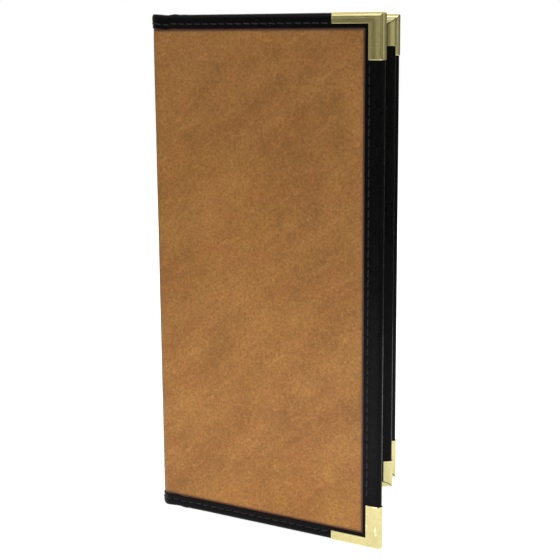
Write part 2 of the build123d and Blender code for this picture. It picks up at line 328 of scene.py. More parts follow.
@dataclass(frozen=True)
class CoverPanel(Panel):
    """Half of the outer cover: s runs from the middle of the spine, round it and out to the edge."""

    centre: tuple[float, float] = (0.0, 0.0)
    turn: float = 0.0
    side: int = 1
    half_arc: float = 0.0
    run: float = 0.0

    @property
    def arc_length(self) -> float:
        """Length of this half of the spine's arc at the leather's outer face."""
        return BUILD.skin_radius * math.radians(self.half_arc)

    @property
    def hinge_s(self) -> float:
        """Value of s at the hinge axis."""
        return self.arc_length + self.run

    def place(self, s: Array, n: Array, z: Array) -> Array:
        """Maps cover coordinates to the frame.

        Up to the arc's end a point lies at the middle radius plus n, turned by s over the leather's
        radius; beyond it, the point goes straight on along the tangent.

        Args:
            s: Distance from the middle of the spine along the leather's outer face.
            n: Level across the cover, positive outwards.
            z: Height.

        Returns:
            Points in metres: x, y and z, then the panel coordinates, on the last axis.
        """
        s, n, z = np.broadcast_arrays(s, n, z)
        normal_turn = self.turn + 90.0 * self.side
        turned = np.degrees(np.clip(self.arc_length - s, 0.0, None) / BUILD.skin_radius)
        straight = np.clip(s - self.arc_length, 0.0, None)
        radius = BUILD.skin_radius - BUILD.leather_face + n
        plan = np.array(self.centre) + polar(radius, normal_turn + self.side * turned)
        plan = plan + straight[..., None] * polar(1.0, self.turn)
        own = np.stack([s * self.side, n, z], axis=-1)
        return np.concatenate([plan, z[..., None], own], axis=-1) * MM

    def inner_level(self, s: Array) -> Array:
        """Level of the binding's inner side: thin round the spine, full where the board starts."""
        ramp = smooth(s, self.stiff_from - 1.6, self.stiff_from + 0.6)
        return BUILD.thin_back + (-self.half - BUILD.thin_back) * ramp

    def inner_seat(self, s: Array) -> Array:
        """Level under the binding's inner lip: the spine's lining, then the pocket film."""
        ramp = smooth(s, self.stiff_from - 1.2, self.stiff_from + 0.2)
        return BUILD.bend_back + (self.under - BUILD.bend_back) * ramp

    def rise(self, s: Array) -> Array:
        """How far the bound edges stand beyond their usual height.

        The binding stands a metal's thickness taller round the spine, eased off beside it, and is
        gathered there in soft folds, each a bell that is added.

        Args:
            s: Distance from the middle of the spine.

        Returns:
            The extra height at each place.
        """
        tall = BUILD.metal * (1.0 - smooth(s, self.arc_length - 4.0, self.arc_length + 3.0))
        for fold in GATHERS:
            tall = tall + fold.rise * bell(s - self.arc_length, fold.beyond, fold.spread)
        return tall


def make_piece(name: str, verts: Array, faces: list[tuple[int, ...]],
               smooth_angle: float) -> bpy.types.Object:
    """Makes a mesh object whose place is in its mesh.

    Args:
        name: The piece's name.
        verts: Points in metres, each followed by its own panel coordinates, also in metres.
        faces: Vertex numbers of each face.
        smooth_angle: Edges that turn by more than this many degrees stay sharp.

    Returns:
        The linked object, at the origin, with the panel coordinates as the attribute "lay".
    """
    rows = verts.reshape(-1, 6)
    mesh = bpy.data.meshes.new(name)
    mesh.from_pydata(rows[:, :3].tolist(), [], faces)
    lay = mesh.attributes.new("lay", "FLOAT_VECTOR", "POINT")
    lay.data.foreach_set("vector", rows[:, 3:].astype(np.float32).ravel())
    mesh.update()
    piece = bpy.data.objects.new(name, mesh)
    bpy.context.scene.collection.objects.link(piece)
    mesh.shade_smooth()
    mesh.set_sharp_from_angle(angle=math.radians(smooth_angle))
    return piece


def tube_faces(rows: int, cols: int, first: int = 0) -> list[tuple[int, ...]]:
    """Faces of a closed profile carried along rows, capped at both ends.

    Args:
        rows: How many profiles there are.
        cols: How many points each profile has; the last joins the first.
        first: Number of the first vertex.

    Returns:
        Quads between neighbouring rows, and one face over each end.
    """
    row = np.arange(rows - 1)[:, None] * cols + first
    col = np.arange(cols)[None, :]
    after = (col + 1) % cols
    quads = np.stack([row + col, row + after, row + cols + after, row + cols + col], axis=-1)
    faces = [tuple(q) for q in quads.reshape(-1, 4).tolist()]
    start = tuple(range(first, first + cols))
    end = tuple(range(first + (rows - 1) * cols, first + rows * cols))
    return faces + [start[::-1], end]


def faced_out(piece: bpy.types.Object) -> bpy.types.Object:
    """Turns the faces of a closed piece outwards, whichever way round they are.

    Args:
        piece: The piece.

    Returns:
        The same piece.
    """
    work = bmesh.new()
    work.from_mesh(piece.data)
    bmesh.ops.recalc_face_normals(work, faces=work.faces)
    work.to_mesh(piece.data)
    work.free()
    return piece


def closed_runs(name: str, grids: Array, smooth_angle: float = 50.0) -> bpy.types.Object:
    """Makes one piece from one or more closed grids of profiles, all of the same size.

    Args:
        name: The piece's name.
        grids: Points of shape pieces, rows, columns, 6; the columns go once round each profile.
        smooth_angle: Edges that turn by more than this many degrees stay sharp.

    Returns:
        The piece, with its faces outwards.
    """
    count, rows, cols = grids.shape[:3]
    faces: list[tuple[int, ...]] = []
    for index in range(count):
        faces += tube_faces(rows, cols, index * rows * cols)
    return faced_out(make_piece(name, grids, faces, smooth_angle))


@dataclass(frozen=True)
class Binding:
    """The folded black strip round a panel's top, free side and bottom, and its thread.

    Attributes:
        panel: The panel that it binds.
        step: Spacing of the profiles along the strip.
        mitre: Length beside a free corner over which the profiles lean to the mitre.
        lip_round: Radius of both lips' rounded borders.
        groove: How far the outer side sinks towards the stitch line.
        pucker: How far the thread pulls the strip in at a hole.
        nose_depth: Depth from the edge over which the strip keeps its full thickness.
        dip_spread: Half width of the dip along the stitch line.
        between_holes: Share of the pucker that stays between two holes.
        rear_groove: Share of the groove on the inner side.
        rear_pucker: Share of the pucker on the inner side.
        stitch_share: Half length of a stitch as a share of the pitch.
        thread_radius: Radius of the thread.
        thread_lean: How far a stitch leans across at its ends.
        thread_rise: Height of a stitch's middle over the strip.
        thread_dive: How far its ends dive into their holes.
    """

    panel: Panel
    step: float = 1.1
    mitre: float = 16.0
    lip_round: float = 0.32
    groove: float = 0.2
    pucker: float = 0.16
    nose_depth: float = 3.2
    dip_spread: float = 0.55
    between_holes: float = 0.45
    rear_groove: float = 0.5
    rear_pucker: float = 0.7
    stitch_share: float = 0.43
    thread_radius: float = 0.33
    thread_lean: float = 0.16
    thread_rise: float = 0.06
    thread_dive: float = 0.34

    def width(self, edge: Edge) -> float:
        """Width of the strip on one edge."""
        return {Edge.TOP: BUILD.top_width, Edge.SIDE: BUILD.side_width,
                Edge.BOTTOM: BUILD.bottom_width}[edge]

    def depth(self, share: Array, edge: Edge) -> Array:
        """Depth of a profile point from the edge.

        Up to the nose's depth d it is as given; beyond it, d + (share - d) times the ratio of the
        edge's width beyond d to the top's.

        Args:
            share: Depth in the top edge's profile.
            edge: The edge that the profile is stretched to.

        Returns:
            Depth from that edge.
        """
        nose = self.nose_depth
        stretch = (self.width(edge) - nose) / (BUILD.top_width - nose)
        return np.where(share > nose, nose + (share - nose) * stretch, share)

    def profile(self, inner: Array, seat: Array, hole: Array) -> tuple[Array, Array]:
        """Level and nominal depth of each point round the strip's section, one row for each station.

        The outer lip is full over the rounded edge, dips at the stitch line and more at each hole,
        and rounds down onto the leather. The edge is a half round between both sides.

        Args:
            inner: Level of the inner side at each station.
            seat: Level under the inner lip at each station.
            hole: How near each station is to a stitch hole, 0 to 1.

        Returns:
            Levels of shape stations, points, and nominal depths of the same shape.
        """
        outer = self.panel.half
        over = self.panel.over
        width = BUILD.top_width
        line = width - BUILD.stitch_setback
        rows = inner.shape[0]
        inner, seat = inner[:, None], seat[:, None]
        pull = self.pucker * (self.between_holes + (1.0 - self.between_holes) * hole[:, None])
        ease = np.linspace(0.0, 0.5 * np.pi, 4)[None, :]
        rounded_d = width - self.lip_round * (1.0 - np.cos(ease))
        lip = outer - self.groove * 0.9
        rounded_n = over + (lip - over) * np.sin(ease)
        flat_d = np.linspace(width - self.lip_round, outer, 16)[None, 1:]
        flat_n = outer - self.groove * smooth(flat_d, self.nose_depth, line - 0.4)
        flat_n = flat_n - pull * bell(flat_d, line, self.dip_spread)
        around = np.linspace(0.0, np.pi, 13)[None, 1:-1]
        nose_d = outer * (1.0 - np.sin(around))
        nose_n = (outer + inner) / 2 + (outer - inner) / 2 * np.cos(around)
        back_d = np.linspace(outer, width - self.lip_round, 12)[None, :]
        back_n = inner + self.groove * self.rear_groove * smooth(back_d, self.nose_depth, line)
        back_n = back_n + pull * self.rear_pucker * bell(back_d, line, self.dip_spread)
        last_d = width - self.lip_round * (1.0 - np.sin(ease[:, 1:]))
        last_n = seat + (back_n[:, -1:] - seat) * np.cos(ease[:, 1:])
        fold_d = np.full((1, 2), BUILD.edge_wall)
        fold_n = np.concatenate([seat, np.full((rows, 1), over)], axis=1)
        levels = (rounded_n, flat_n, nose_n, back_n, last_n, fold_n)
        depths = (rounded_d, flat_d, nose_d, back_d, last_d, fold_d)
        whole = tuple(
            np.concatenate([np.broadcast_to(part, (rows, part.shape[1])) for part in parts], axis=1)
            for parts in (levels, depths))
        return whole

    def stations(self, length: float) -> Array:
        """Even stations along an edge, close enough to show each stitch's pucker."""
        return np.linspace(0.0, length, int(length / self.step) + 1)

    def hole_share(self, along: Array) -> Array:
        """How near each station is to a stitch hole, from the cosine of its place in the pitch."""
        return (0.5 + 0.5 * np.cos(2.0 * np.pi * along / BUILD.stitch_pitch)) ** 2

    def level_run(self, edge: Edge) -> Array:
        """Points of the strip along the top or bottom edge.

        Near the free corner the stations draw together in proportion to their depth, so that the last
        profile lies in the mitre.

        Args:
            edge: The top or the bottom.

        Returns:
            Grid of points in metres, from the root to the mitre.
        """
        panel = self.panel
        sign = -1.0 if edge is Edge.TOP else 1.0
        base = panel.high if edge is Edge.TOP else panel.low
        s = panel.root + self.stations(panel.reach - panel.root)
        levels, nominal = self.profile(panel.inner_level(s), panel.inner_seat(s), self.hole_share(s))
        lean_from = panel.reach - self.mitre
        lean = np.clip(s - lean_from, 0.0, None)[:, None]
        shrink = (self.mitre - self.depth(nominal, Edge.SIDE)) / self.mitre
        along = np.minimum(s, lean_from)[:, None] + lean * shrink
        z = base - sign * panel.rise(s)[:, None] + sign * self.depth(nominal, edge)
        return panel.place(along, levels, z)

    def side_run(self) -> Array:
        """Points of the strip along the free side.

        Returns:
            Grid of points in metres, from the top mitre to the bottom mitre.
        """
        panel = self.panel
        length = panel.high - panel.low
        fall = self.stations(length)
        end = np.full(fall.shape, panel.reach)
        hole = self.hole_share(fall)
        levels, nominal = self.profile(panel.inner_level(end), panel.inner_seat(end), hole)
        top = np.clip(self.mitre - fall, 0.0, None)[:, None] / self.mitre
        bottom = np.clip(fall - (length - self.mitre), 0.0, None)[:, None] / self.mitre
        z = panel.high - fall[:, None] - top * self.depth(nominal, Edge.TOP)
        z = z + bottom * self.depth(nominal, Edge.BOTTOM)
        return panel.place(panel.reach - self.depth(nominal, Edge.SIDE), levels, z)

    def build(self) -> bpy.types.Object:
        """Makes the strip as one closed piece from root to root.

        Returns:
            The piece.
        """
        bottom = self.level_run(Edge.BOTTOM)[::-1]
        grid = np.concatenate([self.level_run(Edge.TOP), self.side_run()[1:-1], bottom], axis=0)
        return closed_runs(f"{self.panel.name}_edge_binding", grid[None])

    def stitch_grid(self, centres: Array, level: float, outward: float) -> tuple[Array, Array, Array]:
        """Along, across and level coordinates of stitches about their centres.

        Each stitch is a round thread that bows up between its holes and leans a little across. With t
        from -1 to 1 along it, its radius is r sqrt(1 - t^6) and its middle's height rise - dive |t|^3.

        Args:
            centres: Place of each stitch's middle along its edge.
            level: Level of the binding under the stitches.
            outward: 1 on the outer face, -1 on the inner one.

        Returns:
            Along, across and level coordinates that together span stitches, rings and sides.
        """
        t = np.linspace(-1.0, 1.0, 9)[None, :, None]
        around = np.linspace(0.0, 2.0 * np.pi, 9)[None, None, :-1]
        radius = self.thread_radius * np.sqrt(np.clip(1.0 - np.abs(t) ** 6, 0.06, 1.0))
        along = centres[:, None, None] + BUILD.stitch_pitch * self.stitch_share * t
        across = self.thread_lean * t + radius * np.cos(around)
        rise = self.thread_rise - self.thread_dive * np.abs(t) ** 3
        return along, across, outward * (rise + radius * np.sin(around)) + level

    def stitches(self) -> bpy.types.Object:
        """Makes the thread: one short bowed stitch in each pitch, on both faces.

        Returns:
            The piece.
        """
        panel = self.panel
        grids: list[Array] = []
        pitch = BUILD.stitch_pitch
        faces = ((1.0, panel.half - self.groove), (-1.0, -panel.half + self.groove * self.rear_groove))
        level_end = panel.reach - panel.metal.level_arm - pitch * 0.6
        starts = (panel.root, max(panel.stiff_from + 1.0, panel.root))
        for edge, base, sign in ((Edge.TOP, panel.high, -1.0), (Edge.BOTTOM, panel.low, 1.0)):
            depth = self.width(edge) - BUILD.stitch_setback
            for (outward, level), start in zip(faces, starts):
                first = math.ceil(start / pitch) + 0.5
                centres = np.arange(first, level_end / pitch) * pitch
                along, across, lift = self.stitch_grid(centres, level, outward)
                z = base - sign * panel.rise(along) + sign * (depth + across)
                grids.append(panel.place(along, lift, z))
        arm = panel.metal.upright_arm
        fall_end = panel.high - panel.low - arm - pitch * 0.5
        depth = self.width(Edge.SIDE) - BUILD.stitch_setback
        centres = np.arange(math.ceil(arm / pitch) + 0.5, fall_end / pitch) * pitch
        for outward, level in faces:
            along, across, lift = self.stitch_grid(centres, level, outward)
            grids.append(panel.place(panel.reach - depth - across, lift, panel.high - along))
        return closed_runs(f"{panel.name}_thread", np.concatenate(grids, axis=0))


@dataclass(frozen=True)
class CornerCap:
    """A stamped brass corner: an unbroken L outside, two flaps parted by a mitre slot inside.

    Attributes:
        panel: The panel that it sits on.
        edge: The top or the bottom.
        bevel: Radius of the rim at the face's inner border.
        tip_radius: Radius of the outer tip.
        slot: Gap of each flap from the mitre's line.
        crown: How far a face's borders lie below its middle.
        face_share: Share of the face's width over which the crown's points run.
        meet: How far the arms' ends stay off the mitre's line.
        end_fall: How far an arm's very end is drawn in.
    """

    panel: Panel
    edge: Edge
    bevel: float = 0.28
    tip_radius: float = 1.7
    slot: float = 0.34
    crown: float = 0.13
    face_share: float = 0.96
    meet: float = 0.02
    end_fall: float = 0.22

    def profile(self, width: float) -> tuple[Array, Array, Array]:
        """Level, depth and flap share of each point round the folded strip's section.

        The outer face has a rounded rim at its inner border and a faint crown, its level being the
        shell's less crown * u^2, with u from -1 to 1 across the face. The edge is a half round, and
        the flap comes back on the inner side. The flap share is 1 on the flap and 0 on the outer face.

        Args:
            width: Width of the arm, from the panel's edge.

        Returns:
            Three arrays of one value for each point.
        """
        half = self.panel.half
        shell = half + BUILD.metal
        rim = np.linspace(0.0, 0.5 * np.pi, 5)
        rim_n = np.concatenate([[half], shell - self.crown - self.bevel * (1.0 - np.sin(rim))])
        rim_d = np.concatenate([[width], width - self.bevel * (1.0 - np.cos(rim))])
        border = width - self.bevel
        across = np.linspace(-1.0, 1.0, 11)
        face_n = shell - self.crown * across ** 2
        face_d = (border + half) / 2 - self.face_share * (border - half) / 2 * across
        around = np.linspace(0.0, np.pi, 25)
        nose_n = (shell - self.crown * np.abs(np.cos(around))) * np.cos(around)
        nose_d = half - shell * np.sin(around)
        inside = np.linspace(np.pi, 0.0, 13)
        back_n = half * np.cos(inside)
        back_d = half - half * np.sin(inside)
        n = np.concatenate([rim_n, face_n, nose_n, -face_n[::-1], -rim_n[::-1], back_n])
        d = np.concatenate([rim_d, face_d, nose_d, face_d[::-1], rim_d[::-1], back_d])
        return n, d, smooth(-n, half * 0.6, half)

    def rounded(self, x: Array, y: Array) -> tuple[Array, Array]:
        """Pulls points near the outer tip onto a round corner.

        Args:
            x: Distance from the free side's outermost line.
            y: Distance from the top or bottom outermost line.

        Returns:
            The distances, with those inside the corner's square moved onto its quarter circle's disc.
        """
        radius = self.tip_radius
        a = radius - x
        b = radius - y
        inside = (a > 0) & (b > 0)
        reach = np.maximum(np.hypot(a, b), 1e-6)
        scale = np.where(inside & (reach > radius), radius / reach, 1.0)
        return np.where(inside, radius - a * scale, x), np.where(inside, radius - b * scale, y)

    def arm(self, along_side: bool) -> Array:
        """Points of one arm from its free end to the mitre.

        The mitre is at 45 degrees over the rounded edge; on the faces it leans so that the borders
        of both arms meet: half the thickness, plus what lies beyond it times the ratio of the widths.

        Args:
            along_side: Whether the arm runs down the free side.

        Returns:
            Grid of points in metres.
        """
        metal = self.panel.metal
        half = self.panel.half
        width, other = metal.level_width, metal.side_width
        length = metal.level_arm
        if along_side:
            width, other, length = other, width, metal.upright_arm
        n, d, flap = self.profile(width)
        beyond = np.clip(d - half, 0.0, None)
        mitre_at = np.minimum(d, half) + beyond * (other - half) / (width - half)
        mitre_at = mitre_at + self.slot * flap + self.meet
        first, middle, last = [0.0, 0.012, 0.03], np.linspace(0.1, 0.75, 8), np.linspace(0.8, 1.0, 14)
        share = np.concatenate([first, middle, last])
        run = length + (mitre_at - length) * share[:, None]
        drawn = np.zeros_like(run)
        drawn[0] = self.end_fall * (np.abs(n) > half)
        depth = np.broadcast_to(d, run.shape)
        x, y = (depth, run) if along_side else (run, depth)
        x, y = self.rounded(x + BUILD.metal, y + BUILD.metal)
        s = self.panel.reach - (x - BUILD.metal)
        y = y - BUILD.metal
        z = self.panel.high - y if self.edge is Edge.TOP else self.panel.low + y
        return self.panel.place(s, n - np.sign(n) * drawn, z)

    def build(self) -> bpy.types.Object:
        """Makes both arms as one piece that stands for the frame's corner.

        Returns:
            The piece.
        """
        arms = [self.arm(along_side) for along_side in (False, True)]
        return closed_runs(f"{self.panel.name}_{self.edge.value}_brass", np.stack(arms), 35.0)


@dataclass(frozen=True)
class Layer:
    """A thin closed layer of a panel between two levels that may vary along it.

    Attributes:
        name: The piece's name.
        panel: The panel that it belongs to.
        near: Value of s at which it starts.
        far: Value of s at which it ends.
        low: Height of its foot.
        high: Height of its top.
        outer: Its outer level at each place.
        inner: Its inner level at each place.
        step_s: Spacing of its points along the panel.
        step_z: Spacing of its points in height.
    """

    name: str
    panel: Panel
    near: float
    far: float
    low: float
    high: float
    outer: Level
    inner: Level
    step_s: float
    step_z: float

    def build(self) -> bpy.types.Object:
        """Makes the layer: an outer grid, an inner grid and the rim between them.

        Returns:
            The piece.
        """
        s = np.linspace(self.near, self.far, int((self.far - self.near) / self.step_s) + 1)[:, None]
        z = np.linspace(self.low, self.high, int((self.high - self.low) / self.step_z) + 1)[None, :]
        outer = self.panel.place(s, self.outer(s, z), z)
        inner = self.panel.place(s, self.inner(s, z), z)[:, ::-1]
        return closed_runs(self.name, np.concatenate([outer, inner], axis=1)[None], 45.0)


@dataclass(frozen=True)
class Pocket:
    """How a pocket film bows out and ripples between its stitched borders.

    Attributes:
        near: Value of s at its open border.
        far: Value of s where it meets the side binding.
        foot: Height where it meets the bottom binding.
        tall: Length from there to the top binding.
        bow: Height of the bow.
        ripple: Height of the ripples.
        pace: Turn of the ripples for each millimetre of height.
        start: Turn of the ripples at the foot.
    """

    near: float
    far: float
    foot: float
    tall: float
    bow: float
    ripple: float
    pace: float
    start: float

    def level(self, s: Array, z: Array) -> Array:
        """Level of the film over its flat place.

        With a and b the shares across and up the pocket, bow sin(pi a) sqrt(sin(pi b)), plus ripples
        of height ripple sin(pi a) sin(pi b) whose turn wanders slowly across.

        Args:
            s: Place across the panel.
            z: Height.

        Returns:
            The level at each place.
        """
        across = np.sin(np.pi * np.clip((s - self.near) / (self.far - self.near), 0.0, 1.0))
        up = np.sin(np.pi * np.clip((z - self.foot) / self.tall, 0.0, 1.0))
        ripple = self.ripple * np.sin(z * self.pace + self.start + 2.0 * np.sin(s * 0.05))
        return self.bow * across * up ** 0.5 + ripple * across * up


def weave_unevenness(s: Array, z: Array) -> Array:
    """Slight unevenness of a lining: 0.012 sin(s / 2) sin(0.21 z)."""
    return 0.012 * np.sin(s * 0.5) * np.sin(z * 0.21)


def panels() -> tuple[CoverPanel, CoverPanel, LeafPanel]:
    """Works out the three panels' places from the frame's joint axes.

    The spine's centre follows from the front joint: the leather's mid-thickness is where the bending
    zone turns, and the front cover starts at the end of the arc.

    Returns:
        Front cover, back cover and leaf.
    """
    front_axis = joint_plan("front_hinge")
    leaf_axis = joint_plan("leaf_hinge")
    axis_radius = BUILD.skin_radius - (BUILD.leather_face - BUILD.bend_level)
    centre = front_axis - polar(axis_radius, BUILD.front_turn - 90.0)
    arc = (BUILD.front_turn - 90.0 + 360.0) - (BUILD.back_turn + 90.0)
    arc_length = BUILD.skin_radius * math.radians(arc / 2)
    shared = dict(
        half=BUILD.cover_half,
        low=BUILD.metal,
        high=BUILD.height - BUILD.metal,
        root=0.0,
        under=BUILD.film_back,
        over=BUILD.leather_face,
        metal=COVER_METAL,
        centre=tuple(centre),
        half_arc=arc / 2,
    )
    front = CoverPanel(
        name="front", body="front_cover", turn=BUILD.front_turn, side=-1, run=0.0,
        reach=arc_length + BUILD.front_length, stiff_from=arc_length + BUILD.thick_start, **shared)
    back_root = arc_length + BUILD.hinge_run
    back = CoverPanel(
        name="back", body="back_cover", turn=BUILD.back_turn, side=1, run=BUILD.hinge_run,
        reach=back_root + BUILD.back_length, stiff_from=back_root + BUILD.thick_start, **shared)
    leaf = LeafPanel(
        name="middle", body="middle_leaf", reach=BUILD.leaf_length, half=BUILD.leaf_half,
        low=BUILD.leaf_inset + BUILD.metal, high=BUILD.height - BUILD.leaf_inset - BUILD.metal,
        stiff_from=BUILD.leaf_start, root=BUILD.leaf_start, under=-BUILD.leaf_film_outer,
        over=BUILD.leaf_film_outer, metal=LEAF_METAL, hinge=tuple(leaf_axis), turn=BUILD.leaf_turn)
    return front, back, leaf


def follow_both(piece: bpy.types.Object, panel: Panel, near: float, far: float, level: float) -> None:
    """Bakes a finished piece's transform into its mesh; it is not made to follow the spine or its
    panel.

    Args:
        piece: The piece.
        panel: The panel that would carry its far part.
        near: Value of s up to which it would stay with the spine.
        far: Value of s from which it would go with the panel.
        level: Level across the panel at which both places lie.
    """
    ends = panel.place(np.array([near, far]), np.array([level, level]), np.full(2, BUILD.height / 2))
    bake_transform(piece)


@dataclass(frozen=True)
class Cover:
    """One cover with its half of the spine: leather, lining, film, binding, thread and corners.

    Attributes:
        panel: The cover's coordinates.
        proud: How far the leather's field stands over its flat place.
        dip: How far it is pressed down beside the binding's lip.
        dip_width: Distance over which the dip falls off.
        lip_shade_width: Distance over which the painted shade beside the lip falls off.
        bend_near: Distance before the hinge up to which the soft pieces would stay with the spine; they
            are not made to follow it.
        bend_far: Distance beyond it from which they would go with the cover.
    """

    panel: CoverPanel
    proud: float = 0.1
    dip: float = 0.22
    dip_width: float = 1.8
    lip_shade_width: float = 1.5
    bend_near: float = 2.6
    bend_far: float = 3.4

    def border(self, s: Array, z: Array) -> Array:
        """Distance of a point of the leather from the binding's lip.

        Args:
            s: Place along the cover.
            z: Height.

        Returns:
            The least of the distances from the three lips, negative under a lip.
        """
        panel = self.panel
        level = np.minimum(panel.high - BUILD.top_width - z, z - panel.low - BUILD.bottom_width)
        return np.minimum(level, panel.reach - BUILD.side_width - s)

    def leather_outer(self, s: Array, z: Array) -> Array:
        """Level of the leather's outer face.

        The field's level, less a dip that falls off from the binding's lip as e to the power of minus
        the distance, plus a slow unevenness; under the lip it lies a little lower.

        Args:
            s: Place along the cover.
            z: Height.

        Returns:
            The level at each place.
        """
        border = self.border(s, z)
        pressed = np.exp(-np.clip(border, 0.0, None) / self.dip_width)
        slow = 0.035 * np.sin(s * 0.11 + 1.3 * np.sin(z * 0.043)) * np.cos(z * 0.057 + 0.4)
        tucked = np.where(border < 0.05, -0.04, 0.0)
        field = BUILD.leather_face + self.proud
        return field - self.dip * pressed + np.where(border > 0, slow, 0.0) + tucked

    def leather(self) -> bpy.types.Object:
        """Makes this half's leather skin, from the middle of the spine to under the binding's lip.

        Its attribute "lip_shade", a mask of painted shade beside the binding's lip, falls off from 1 at
        the lip as e to the power of minus the distance.

        Returns:
            The piece.
        """
        panel = self.panel
        piece = Layer(
            f"{panel.name}_skin", panel, near=0.0, outer=self.leather_outer,
            inner=lambda s, z: np.full(np.broadcast(s, z).shape, BUILD.leather_back),
            step_s=1.0, step_z=1.25, **panel.tucked).build()
        lay = np.empty(len(piece.data.vertices) * 3, np.float32)
        piece.data.attributes["lay"].data.foreach_get("vector", lay)
        place = lay.reshape(-1, 3) / MM
        border = self.border(np.abs(place[:, 0]), place[:, 2])
        # painted shade: 1 at the binding's lip and falling off away from it, where the lip's shadow
        # would lie on the leather
        lip_shadow = np.exp(-np.clip(border, 0.0, None) / self.lip_shade_width)
        mark = piece.data.attributes.new("lip_shade", "FLOAT", "POINT")
        mark.data.foreach_set("value", lip_shadow.astype(np.float32))
        return piece

    def lining_face(self, s: Array, z: Array) -> Array:
        """Level of the lining's bare face, eased from the spine's lining down onto the board's back.

        Args:
            s: Place along the cover.
            z: Height.

        Returns:
            The level at each place.
        """
        ramp = smooth(s, self.panel.stiff_from - 1.1, self.panel.stiff_from - 0.1)
        level = BUILD.bend_back + (BUILD.lining_back - BUILD.bend_back) * ramp
        return level + weave_unevenness(s, z)

    def lining_back(self, s: Array, z: Array) -> Array:
        """Level of the lining's glued side, from the leather's back down onto the board's back."""
        ramp = smooth(s, self.panel.stiff_from - 0.8, self.panel.stiff_from)
        return BUILD.leather_back - 0.03 + (BUILD.board_back - BUILD.leather_back) * ramp

    def lining(self) -> bpy.types.Object:
        """Makes this half's lining."""
        return Layer(f"{self.panel.name}_inside", self.panel, near=0.0, outer=self.lining_back,
                     inner=self.lining_face, step_s=0.8, step_z=6.0, **self.panel.tucked).build()

    def film(self) -> bpy.types.Object:
        """Makes the clear pocket, bowed a little into the booklet.

        Returns:
            The piece.
        """
        panel = self.panel
        near = panel.stiff_from + BUILD.pocket_setback
        sheet = Pocket(near, far=panel.reach - BUILD.side_width, foot=9.0, tall=282.0,
                       bow=-0.16, ripple=0.06, pace=0.09, start=0.0)
        return Layer(
            f"{panel.name}_clear_pocket", panel, near=near,
            outer=lambda s, z: BUILD.film_front + 0.03 + sheet.level(s, z),
            inner=lambda s, z: BUILD.film_back + 0.05 + sheet.level(s, z),
            step_s=2.5, step_z=3.0, **panel.tucked).build()

    def build(self, looks: Looks) -> list[bpy.types.Object]:
        """Makes and dresses the cover and its half of the spine.

        Args:
            looks: The finishes.

        Returns:
            All its pieces.
        """
        panel = self.panel
        name = panel.name
        skin = looks.dress(self.leather(), Slot.LEATHER)
        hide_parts(f"{name}_leather", "spine_leather")
        inside = looks.dress(self.lining(), Slot.LINING)
        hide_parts(f"{name}_lining", "spine_lining")
        binding = Binding(panel)
        edge = looks.dress(binding.build(), Slot.BINDING)
        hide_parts(f"{name}_top_binding", f"{name}_side_binding", f"{name}_bottom_binding",
                    "spine_top_binding", "spine_bottom_binding")
        thread = looks.dress(binding.stitches(), Slot.THREAD)
        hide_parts(f"{name}_stitching", "spine_stitching")
        hinge = panel.hinge_s
        for piece in (skin, inside, edge, thread):
            follow_both(piece, panel, hinge - self.bend_near, hinge + self.bend_far, BUILD.bend_level)
        film = looks.dress(self.film(), Slot.FILM)
        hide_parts(f"{name}_pocket")
        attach(film, panel.body)
        caps = build_caps(panel, looks)
        return [skin, inside, edge, thread, film, *caps]


def build_caps(panel: Panel, looks: Looks) -> list[bpy.types.Object]:
    """Makes and dresses a panel's two brass corners.

    Args:
        panel: The panel that carries them.
        looks: The finishes.

    Returns:
        The upper and the lower corner.
    """
    caps = []
    for edge in (Edge.TOP, Edge.BOTTOM):
        cap = looks.dress(CornerCap(panel, edge).build(), Slot.BRASS)
        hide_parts(f"{panel.name}_{edge.value}_corner")
        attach(cap, panel.body)
        caps.append(cap)
    return caps


